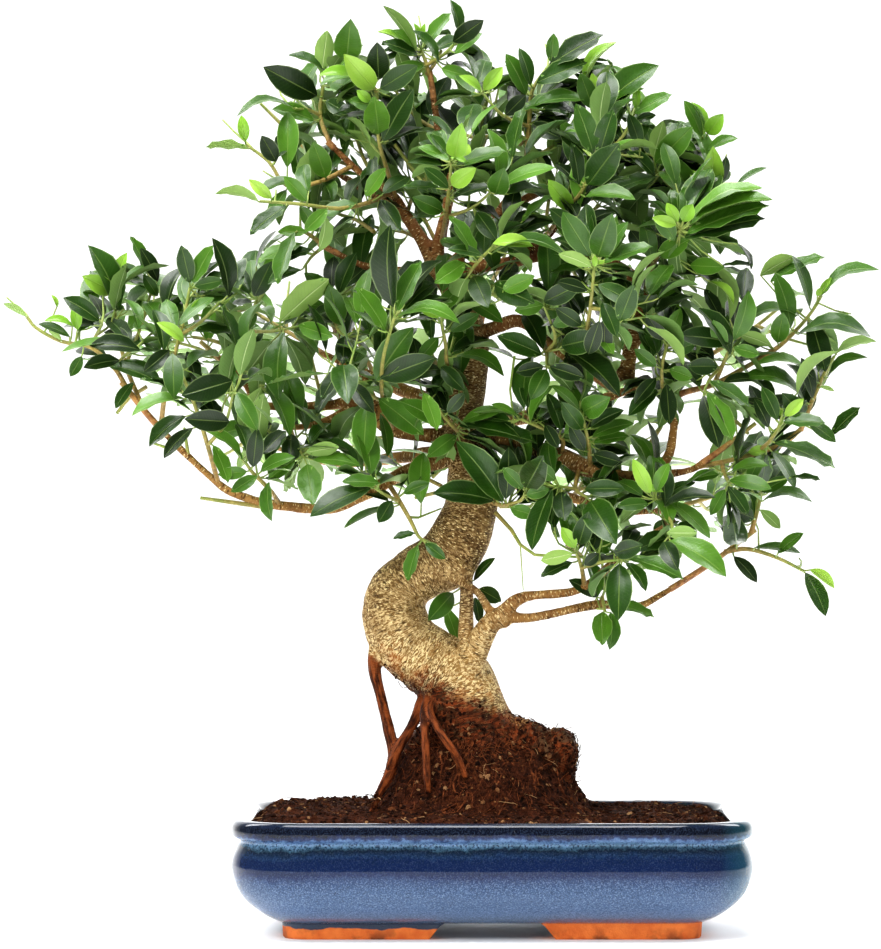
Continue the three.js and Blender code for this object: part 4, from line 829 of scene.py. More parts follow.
LIMBS = table(
    "-14 180 -20 8.5, -17 197 -17 6, -17 214 -15 5, -17 234 -14 5.5, -20 246 -10 6; -30 240 -16 3.4, "
    "-11 231 -20 2.9, -1 217 -24 3, 6 212 -26 4; -15 178 -16 9.5, -3 204 -25 7.2, 9 216 -27 5.4, "
    "22 226 -29 3.8, 54 229.5 -34 3.1, 68 236 -38 3, 83 249 -44 2.8, 105 265 -52 2.4, 126 279 -56 1.8; "
    "6 213 -26 4.6, 27 212 -24 3.4, 61 219 -18 3.4, 76 221 -14 3.6, 100 220 -8 2.8, 116 227.5 -4 2.4, "
    "150 249 4 2, 181 272 10 1.5; -16 326 -4 8, -59 311 -16 5.2, -85 297 -22 4.5, -110 287 -28 4.1, "
    "-146 289 -37 3.4, -170 295 -42 3, -187 304 -45 2.8, -226 341 -42 2.4, -253 373 -35 1.9; "
    "-18 334 4 7, -66 340 16 5, -80 349 20 4.6, -94 360 26 4.2, -114 357 34 3.5, -157 358 44 2.8, "
    "-171 376 40 2.4, -199 401 30 1.5; -92 359 25 3.4, -110 348 16 2.8, -127 343 8 2.2, -142 342 2 1.6; "
    "-64 340 15 4, -78 356 22 3.2, -86 376 30 2.8, -93 395 36 2.3, -108 408 38 1.7; -10 336 -2 8, "
    "13 331.5 -14 5.4, 48 323 -26 5.4, 66 314 -31 6, 92 309 -35 4, 132 312 -36 2.6, 149 321 -36 2.2, "
    "181 345 -32 1.3; 108 309 -36 3.4, 121 322 -34 3.6, 125 341 -30 3.2, 127 363 -26 2.4, "
    "153 372 -34 1.8, 184 389 -36 1.5; 140 315 -36 1.9, 165 320 -33 1.6, 183 325 -29 1.7, "
    "200 331 -26 1.8, 213 342 -24 1.6; -15 404 -2 8, 4 411 -12 5.4, 20 415 -18 4.4, 36 403 -24 3.6, "
    "50 391 -30 3, 68 378 -36 2.4, 85 366 -42 1.6; -38 453 0 6.4, -47 470 2 4.4, -58 487 4 3.8, "
    "-67 501 4 3.4, -90 517 2 2.8, -112 538 0 2.2; -37 450 0 6.6, -36 468 -3 4.4, -29 505 -4 3.4, "
    "-36 545 -2 2.8, -42 586 0 2; -36 446 -1 6, -24 457 -4 4.6, -8 474 -6 3.8, 9 494 -8 3.2, "
    "25 526 -10 2.4; -30 444 -1 6, -10 452 -8 4.6, 14 456 -10 4, 38 473 -14 3.2, 57 497 -16 2.2; "
    "-38 450 0 5, -60 449 6 3.6, -87 453 6 2.8, -118 468 0 2; 14 455 -8 4, 50 462 -6 4, 84 454 -4 4.2, "
    "104 434 -6 4.8, 98 408 -8 5, 94 388 -9 5.4, 93 377 -9 6; -16 328 4 7, -60 322 52 4.4, "
    "-105 318 84 3.2, -140 326 104 2.2; -20 352 6 7, -68 371 54 4.2, -118 394 84 2.4; -20 376 6 7, "
    "-12 398 58 4.2, -5 424 98 2.6; -16 345 6 7, 40 352 50 4.4, 95 368 78 3.2, 140 385 88 2.2; "
    "-13 312 6 7, 35 300 48 4.2, 85 286 72 3, 120 285 84 2.2; -35 470 0 4, -26 505 42 3, -15 529 68 2.2; "
    "-58 487 4 3.6, -90 507 44 2.8, -118 524 64 2; 4 488 -5 3.6, 48 511 42 2.8, 89 525 64 2")
TRUNK_KIND, ROOT_KIND, AIR_KIND, LIMB_KIND = range(4)
# Extra swellings of the wood
KNOBS = table(
    "-37 368 -2 8, 92 378 -9 7.4, 99 405 -8 6.4, 58 318 -28 6.6, 46 122 -12 15, -14 178 -16 10.5, "
    "8 211 -26 6.6, -16 330 0 15, -92 360 24 5, -38 452 -1 8.5, -22 248 -12 12")[0]
# How uneven the trunk, the roots, the air roots and the limbs are
UNEVENNESS = (0.08, 0.16, 0.22, 0.2)
FINEST_SOLID = 2.3
VOXEL = 1.45
LINE_STEPS = 9
POINTS_AT_ONCE = 4000
AIR_ROOT_TOP = 187
JOINT_JUMP = 2.8
OWN_SHARE = 0.3
JOINT_PASSES = 26
FOOT_SLANT = 0.46


def seen_at(x, z, y):
    """Where a point that shows at x, z on the trunk's plane stands when it is y behind that plane."""
    spread = 1 - y / EYE.y
    return Vector((EYE.x + (x - EYE.x) * spread, y, EYE.z + (z - EYE.z) * spread))


def line_of(rows, steps=LINE_STEPS):
    """Smooth centre line and radii of a branch."""
    return flowing([(*seen_at(x, z, y), radius) for x, z, y, radius in rows], steps)


def frames_along(path):
    """An upright pair of side directions at each point, turned as little as can be from one to the next."""
    path = [Vector(point) for point in path]
    sides = []
    side = None
    for k in range(len(path)):
        way = (path[min(k + 1, len(path) - 1)] - path[max(k - 1, 0)]).normalized()
        if side is None:
            side = way.orthogonal().normalized()
        side = (side - way * side.dot(way)).normalized()
        sides.append((way, side, way.cross(side)))
    return sides


def tube(shell, line, around, uneven, seed):
    """A closed tube along a line of x, y, z, radius, with small swellings on its way."""
    rings = []
    travelled = 0.0
    for k, ((x, y, z, radius), (_, side, over)) in enumerate(zip(line, frames_along(line[:, :3]))):
        if k:
            travelled += float(np.linalg.norm(line[k, :3] - line[k - 1, :3]))
        swell = 1 + uneven * noise.noise((travelled / (14 + 1.2 * radius), seed * 7.3, 0))
        ring = []
        for turn in turns_round(around):
            out = side * math.cos(turn) + over * math.sin(turn)
            lobes = 1 + 0.6 * uneven * noise.noise((out.x * 1.3, out.y * 1.3, travelled / 40 + seed))
            ring.append(shell.verts.new(Vector((x, y, z)) + out * radius * swell * lobes))
        rings.append(ring)
    for low, high in zip(rings, rings[1:]):
        for step in range(around):
            after = (step + 1) % around
            shell.faces.new((low[step], low[after], high[after], high[step]))
    shell.faces.new(list(reversed(rings[0])))
    shell.faces.new(rings[-1])


shell = bmesh.new()
wood_lines = [(line_of(TRUNK, 12), TRUNK_KIND)]
for kind, group in ((ROOT_KIND, ROOTS), (AIR_KIND, AIR_ROOTS), (LIMB_KIND, LIMBS)):
    wood_lines += [(line_of(rows), kind) for rows in group]
thin_lines = []
for number, (line, kind) in enumerate(wood_lines):
    stout = line
    if kind == LIMB_KIND:
        end = next((k for k in range(len(line)) if line[k, 3] < FINEST_SOLID), len(line))
        stout = line[:max(end + 1, 3)]
        if end < len(line):
            thin_lines.append(line[max(end - 1, 0):])
    tube(shell, stout, TRUNK_SIDES if kind == TRUNK_KIND else BRANCH_SIDES, UNEVENNESS[kind], number)
for x, z, y, radius in KNOBS:
    ball = bmesh.ops.create_icosphere(shell, subdivisions=2, radius=radius)["verts"]
    for corner in ball:
        corner.co = seen_at(x, z, y) + corner.co * (1 + 0.2 * noise.noise(corner.co / radius * 1.3))
wood = bpy.data.objects.new("trunk_and_limbs", mesh_of("wood_core", shell))
bpy.context.scene.collection.objects.link(wood)
merge = wood.modifiers.new("merge", "REMESH")
merge.mode = "VOXEL"
merge.voxel_size = VOXEL
merge.use_smooth_shade = True
ease = wood.modifiers.new("ease", "SMOOTH")
ease.factor = 0.5
ease.iterations = 4
settle(wood)

# Bark relief, and for the bark's pattern each point's place round and along its own branch
middles, notes = [], []
for line, kind in wood_lines:
    travelled = 0.0
    for k, (row, frame_here) in enumerate(zip(line, frames_along(line[:, :3]))):
        if k:
            travelled += float(np.linalg.norm(row[:3] - line[k - 1, :3]))
        middles.append(row)
        notes.append((frame_here, travelled, kind))
middles = np.array(middles)
grain, limb_share, root_share, girth = [], [], [], []
body = wood.data
starts = np.empty(len(body.vertices) * 3)
normals = np.empty(len(body.vertices) * 3)
body.vertices.foreach_get("co", starts)
body.vertex_normals.foreach_get("vector", normals)
ends = []
spots = starts.reshape(-1, 3)
nearest = []
for start in range(0, len(spots), POINTS_AT_ONCE):
    apart = spots[start:start + POINTS_AT_ONCE, None, :] - middles[None, :, :3]
    beyond = np.sqrt(np.einsum("ijk,ijk->ij", apart, apart)) - middles[None, :, 3]
    nearest.extend(beyond.argmin(axis=1).tolist())
for spot, normal, index in zip(spots, normals.reshape(-1, 3), nearest):
    spot = Vector(spot)
    (way, side, over), travelled, kind = notes[index]
    radius = float(middles[index, 3])
    out = spot - Vector(middles[index, :3])
    sideways, upward, lengthwise = out.dot(side), out.dot(over), travelled + out.dot(way)
    grain.append((sideways * MM, upward * MM, lengthwise * MM))
    limb_share.append(1.0 if kind == LIMB_KIND else 0.0)
    root_share.append(1.0 if kind == AIR_KIND and spot.z < AIR_ROOT_TOP else 0.0)
    girth.append(radius * MM)
    lumps = 0.9 * noise.noise(spot / 19) + 0.45 * noise.noise(spot / 7.5)
    wrinkle = 0.28 * noise.noise((sideways / 9, upward / 9, lengthwise / 2.1))
    lift = (lumps + wrinkle) * min(radius / 12, 1.0)
    ends.extend(in_frame(*(spot + Vector(normal) * lift)))
body.vertices.foreach_set("co", ends)
neighbours = np.empty(len(body.edges) * 2, int)
body.edges.foreach_get("vertices", neighbours)
neighbours = neighbours.reshape(-1, 2)
here, there = neighbours.T
valence = np.bincount(neighbours.ravel(), minlength=len(body.vertices))
# Where the bark of two branches meets, its pattern is faded out
places = np.array(grain)
jump = np.linalg.norm(places[here] - places[there], axis=1)
spans = np.linalg.norm(spots[here] - spots[there], axis=1) * MM
joint = np.zeros(len(body.vertices))
joint[neighbours[jump > JOINT_JUMP * spans].ravel()] = 1.0
mark(body, "grain", [part for row in grain for part in row], "FLOAT_VECTOR")
# The rest is evened out over the joints between the trunk, its roots and its limbs
for name, values, passes in (("limb", limb_share, JOINT_PASSES), ("root", root_share, JOINT_PASSES),
        ("girth", girth, JOINT_PASSES), ("joint", joint, 1)):
    level = np.array(values)
    for _ in range(passes):
        total = np.bincount(here, level[there], len(level)) + np.bincount(there, level[here], len(level))
        level = OWN_SHARE * level + (1 - OWN_SHARE) * total / valence
    mark(body, name, level.tolist())
body.update()


def stretched(vector, share):
    """Coordinates along a branch, drawn out or pressed together lengthwise."""
    return node(tree_of(vector), "ShaderNodeVectorMath", {0: vector, 1: (1.0, 1.0, share)},
        operation="MULTIPLY").outputs[0]


def away_from(place, x, z, y):
    return node(tree_of(place), "ShaderNodeVectorMath", {0: place, 1: tuple(in_frame(*seen_at(x, z, y)))},
        operation="DISTANCE").outputs["Value"]


def bark():
    finish, place, surface = new_finish("tan bark", roughness=0.68, specular_ior_level=0.15)
    height = axis_of(place, 2)
    grain_at = layer(surface, "grain", "Vector")
    limb = layer(surface, "limb")
    thick = layer(surface, "girth")
    across = stretched(grain_at, 3.2)
    root = layer(surface, "root")
    whole = spread_over(layer(surface, "joint"), 0.5, 0.1)

    def either(along_grain, in_place):
        """The pattern that follows the grain, and between two branches one that doesn't."""
        return node(surface.id_data, "ShaderNodeMix", {0: whole, 2: in_place, 3: along_grain}).outputs[0]

    patches = mottling(place, 42.0, 5.0, 0.36, 0.66)
    tan = mixed(patches, "#432e18", "#755a35")
    olive = mottling(place, 24.0, 3.0, 0.5, 0.72)
    tan = mixed(times(olive, 0.5), tan, "#4a3b1c")
    cream = times(spread_over(height, 0.250, 0.185), spread_over(height, 0.140, 0.165))
    tan = mixed(times(cream, 0.3), tan, "#b08a50")
    reddish = mixed(patches, "#694626", "#94703f")
    upper_inside = times(spread_over(height, 0.400, 0.430), 0.6)
    reddish = mixed(upper_inside, reddish, "#673a22")
    shaded = spread_over(height, 0.235, 0.275)
    tan = mixed(times(shaded, 0.55), tan, "#4b3418")
    slim = times(limb, spread_over(thick, 0.0085, 0.0045))
    # The slim column and the twig that stand in the shade of the crook
    crook = times(limb, spread_over(away_from(place, -14, 228, 2), 0.034, 0.022))
    reddish = mixed(times(crook, 0.85), reddish, "#432a14")
    colour = mixed(slim, tan, reddish)
    # Pale wavy dashes that lie across the grain, longer and sparser on the limbs
    wavy = either(mottling(across, 360.0, 2.0, 0.465, 0.555, 0.8),
        mottling(place, 430.0, 2.0, 0.465, 0.555, 0.8))
    broad = mottling(place, 70.0, 4.0, 0.38, 0.58, 0.8)
    net = times(wavy, spread_over(broad, 0.0, 1.0, 0.45, 1.0))
    sparse = times(slim, less(1.0, crook))
    net = times(net, spread_over(sparse, 0.0, 1.0, 0.9, 0.22))
    net = times(net, spread_over(shaded, 0.0, 1.0, 1.0, 0.72))
    colour = mixed(net, colour, mixed(cream, "#b09668", "#d8c292"))
    pores = most(flecks(across, 330.0, 0.42, 0.5), flecks(across, 190.0, 0.34, 0.4))
    pores = times(times(spread_over(pores, 0.2, 0.55), 0.75), whole)
    colour = mixed(pores, colour, "#ead5a2")
    cracks = either(mottling(across, 210.0, 4.0, 0.58, 0.66, 0.6),
        mottling(place, 300.0, 4.0, 0.58, 0.66, 0.6))
    colour = mixed(times(cracks, 0.75), colour, "#2e1c0b")
    # Peat washed up the trunk's foot in a ragged slant, rusty along its edge, and red-brown roots under it
    sideways = axis_of(place, 0)
    slant = plus(height, times(most(maths("MINIMUM", sideways, 0.030), -0.016), FOOT_SLANT))
    blots = plus(mottling(place, 55.0, 6.0, 0.3, 0.7), times(wavy, 0.35))
    ragged = plus(slant, times(blots, 0.020))
    rusty = times(mottling(place, 90.0, 4.0, 0.48, 0.6), spread_over(ragged, 0.200, 0.184))
    colour = mixed(times(rusty, 0.6), colour, "#92551f")
    wash = spread_over(ragged, 0.185, 0.172)
    foot = mixed(mottling(across, 120.0, 4.0, 0.45, 0.6), "#260a03", "#682e14")
    colour = mixed(times(wash, 0.92), colour, foot)
    streaky = stretched(grain_at, 0.16)
    root_red = mixed(mottling(streaky, 420.0, 4.0, 0.4, 0.6), "#2c1207", "#7c4120")
    aerial = spread_over(root, 0.35, 0.7)
    colour = mixed(times(aerial, 0.95), colour, root_red)
    # Grey old bark that is left on the burl at the right of the foot
    near_burl = spread_over(away_from(place, 44, 127, -20), 0.019, 0.010)
    burl = times(near_burl, mottling(place, 120.0, 5.0, 0.48, 0.56))
    colour = mixed(times(burl, 0.7), colour, "#4b3b2a")
    feed(surface, "Base Color", colour)
    feed(surface, "Roughness", spread_over(patches, 0.0, 1.0, 0.78, 0.58))
    relief = less(times(most(net, pores), 0.4), cracks)
    relief = plus(relief, times(mottling(place, 600.0), 0.4))
    bumped(surface, relief, 0.0008, 0.8)
    return finish


BARK = bark()
body.materials.clear()
body.materials.append(BARK)
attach(wood, "root")
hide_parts("trunk")


def twig_bark():
    """Green-brown skin of young wood, browner where it is thicker."""
    finish, place, surface = new_finish("young twig bark", roughness=0.55)
    thick = layer(surface, "thick")
    age = spread_over(thick, 0.0009, 0.0021)
    young = mixed(mottling(place, 160.0), "#6f8a3c", "#8f9a55")
    old = mixed(mottling(place, 260.0, 4.0), "#6d4627", "#a87a4a")
    colour = mixed(age, young, old)
    pores = flecks(place, 520.0, 0.35, 0.4)
    colour = mixed(times(times(pores, age), 0.6), colour, "#d8c598")
    feed(surface, "Base Color", colour)
    bumped(surface, mottling(place, 1100.0), 0.0002, 0.6)
    return finish


def stems_along(group, lines, sides, girth):
    """Round stems along the edges of a mesh, each point with its own thickness."""
    stems = grow(group, "CurveToMesh", {"Curve": grow(group, "MeshToCurve", {"Mesh": lines}),
        "Fill Caps": True, "Profile Curve": grow(group, "CurvePrimitiveCircle", {0: sides, 4: 1.0}),
        "Scale": times(named(group, "thick"), girth)})
    return grow(group, "SetShadeSmooth", {"Geometry": stems, "Shade Smooth": True})


def tube_rule():
    group, entry = new_rule("stems along edges", sides=6, girth=1.0, finish="Material")
    stems = stems_along(group, entry["Geometry"], entry["Sides"], entry["Girth"])
    return hand_out(group, made_real(group, stems, entry["Finish"]))


def stem_mesh(name, lines):
    """Edges along several lines of x, y, z, radius in metres, each point with its thickness."""
    points, edges, thick = [], [], []
    for line in lines:
        for k, (x, y, z, radius) in enumerate(line):
            if k:
                edges.append((len(points) - 1, len(points)))
            points.append((x, y, z))
            thick.append(radius)
    mesh = plain_mesh(name, points, edges, [])
    mark(mesh, "thick", thick)
    return mesh


TWIG_BARK = twig_bark()
STEMS = tube_rule()
tips = [[(*in_frame(*row[:3]), row[3] * MM) for row in line] for line in thin_lines]
# Bare stubs, hairs and small twigs that carry no leaves: rows of x, z, y and radius
STRAY_TWIGS = table(
    "-157 288 -39 1.6, -178 291 -44 1.5, -199 294 -48 1.1; -207 322 -44 1.4, -210 342 -50 0.9; "
    "-218 327 -43 1.2, -233 332 -50 0.8; 16 391 -40 0.9, 13 368 -46 0.8, 16 343 -50 0.5; 20 262 -34 0.5, "
    "22 231 -40 0.3; 6 288 -18 1.3, 27 288 -26 1.1, 30 292 -30 0.8; 3 284 -16 1.6, 14 272 -24 1.4, "
    "20 262 -32 1.2, 30 255 -36 1.1, 68 253 -44 0.8; 3 564 -8 0.9, 6 578 -10 0.5; -66 536 -10 1.3, "
    "-42 503 -12 1.0")
tips += [[(*in_frame(*seen_at(x, z, y)), radius * MM) for x, z, y, radius in rows] for rows in STRAY_TWIGS]
branch_tips = grown("branch_tips", stem_mesh("tips", tips), STEMS, sides=8, girth=1.0, finish=TWIG_BARK)
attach(branch_tips, "root")


# Fine roots
# Red-brown roots as thin as string leave the trunk's foot and the air roots, wander down over the ball and
# slip under the peat. Hairs as thin as thread stand off them.
FINE_ROOTS = 150
HAIRS = 240


def root_colour():
    finish, place, surface = new_finish("red-brown roots", roughness=0.8, specular_ior_level=PEAT_GLOSS)
    colour = mixed(mottling(place, 240.0, 4.0), "#35190e", "#7a4527")
    colour = mixed(times(mottling(place, 90.0, 3.0, 0.5, 0.6), 0.6), colour, "#1c0d08")
    feed(surface, "Base Color", colour)
    bumped(surface, mottling(place, 900.0), 0.0003, 0.8)
    return finish


def crawling_root(chance):
    """A root that runs from the trunk's foot down over the ball and into the bed."""
    turn = chance.uniform(0, 2 * math.pi)
    radius = chance.uniform(0.5, 1.2) if chance.random() < 0.15 else chance.uniform(0.16, 0.42)
    out = chance.uniform(16, 34)
    steps = chance.randint(9, 15)
    line = []
    for k in range(steps):
        x = BALL_MIDDLE - 3 + out * math.cos(turn)
        y = out * math.sin(turn)
        ground = soil_height(x, y, 60)
        climb = max(0, 1 - k / 3) * chance.uniform(2, 10)
        sink = radius * (0.2 if k < steps - 2 else -3)
        line.append((*in_frame(x, y, ground + climb + sink), radius * (1 - 0.55 * k / steps) * MM))
        out += chance.uniform(2.5, 7)
        turn += chance.uniform(-0.16, 0.16)
    return line


def hair(chance):
    turn = chance.uniform(0, 2 * math.pi)
    out = chance.uniform(26, 62)
    x = BALL_MIDDLE + out * math.cos(turn)
    y = out * math.sin(turn)
    spot = Vector((x, y, soil_height(x, y, 60) - 1))
    heading = Vector((math.cos(turn), math.sin(turn), chance.uniform(0.2, 1.6))).normalized()
    line = []
    for _ in range(5):
        line.append((*in_frame(*spot), 0.22 * MM))
        heading = (heading + Vector([chance.uniform(-0.4, 0.4) for _ in range(3)])
            - Vector((0, 0, 0.18))).normalized()
        spot = spot + heading * chance.uniform(1.5, 4)
    return line


chance = random.Random(41)
root_lines = [crawling_root(chance) for _ in range(FINE_ROOTS)] + [hair(chance) for _ in range(HAIRS)]
smooth_roots = [[tuple(row) for row in flowing(line, 3)] for line in root_lines]
fine_roots = grown("fine_roots", stem_mesh("root_lines", smooth_roots), STEMS, sides=5, girth=1.0,
    finish=root_colour())
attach(fine_roots, "root")


# Clinging peat and fibres
# Crumbs of peat and short fibres that stick to the trunk's foot and the burl, thick at the bottom and
# thinning out upwards. The hanging air roots are left bare.
def clinging_ground(name, highest, lowest):
    """The trunk's foot as a surface to strew on, thinning out towards its top."""
    ground = body.copy()
    ground.name = name
    for title in ("grain", "limb", "root", "girth", "joint"):
        ground.attributes.remove(ground.attributes[title])
    shares = []
    for corner in ground.vertices:
        slant = corner.co.z / MM + FOOT_SLANT * min(corner.co.x / MM, 18)
        bare = body.attributes["root"].data[corner.index].value > 0.4 and corner.co.z > 0.096
        shares.append(0 if bare else within((highest - slant) / (highest - lowest)))
    mark(ground, "strewn", shares)
    return ground


clinging_fibres = strewn_strands("clinging_fibres", clinging_ground("fibre_foot", 158, 132), 0.026, seed=12,
    tumble=0.3, bits_per_square_metre=150000.0, smallest=3 * MM, largest=14 * MM)
clinging_peat = strewn_crumbs("clinging_peat", clinging_ground("peat_foot", 162, 138), seed=14,
    bits_per_square_metre=210000.0, smallest=0.8 * MM, largest=3.4 * MM)
for piece in (clinging_fibres, clinging_peat):
    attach(piece, "root")


# Leafy sprays
# Green twigs with oval leathery leaves on short stalks. They grow from the branches: glossy dark green
# above with a pale midrib, grey-green below, and lime where they are newly opened.

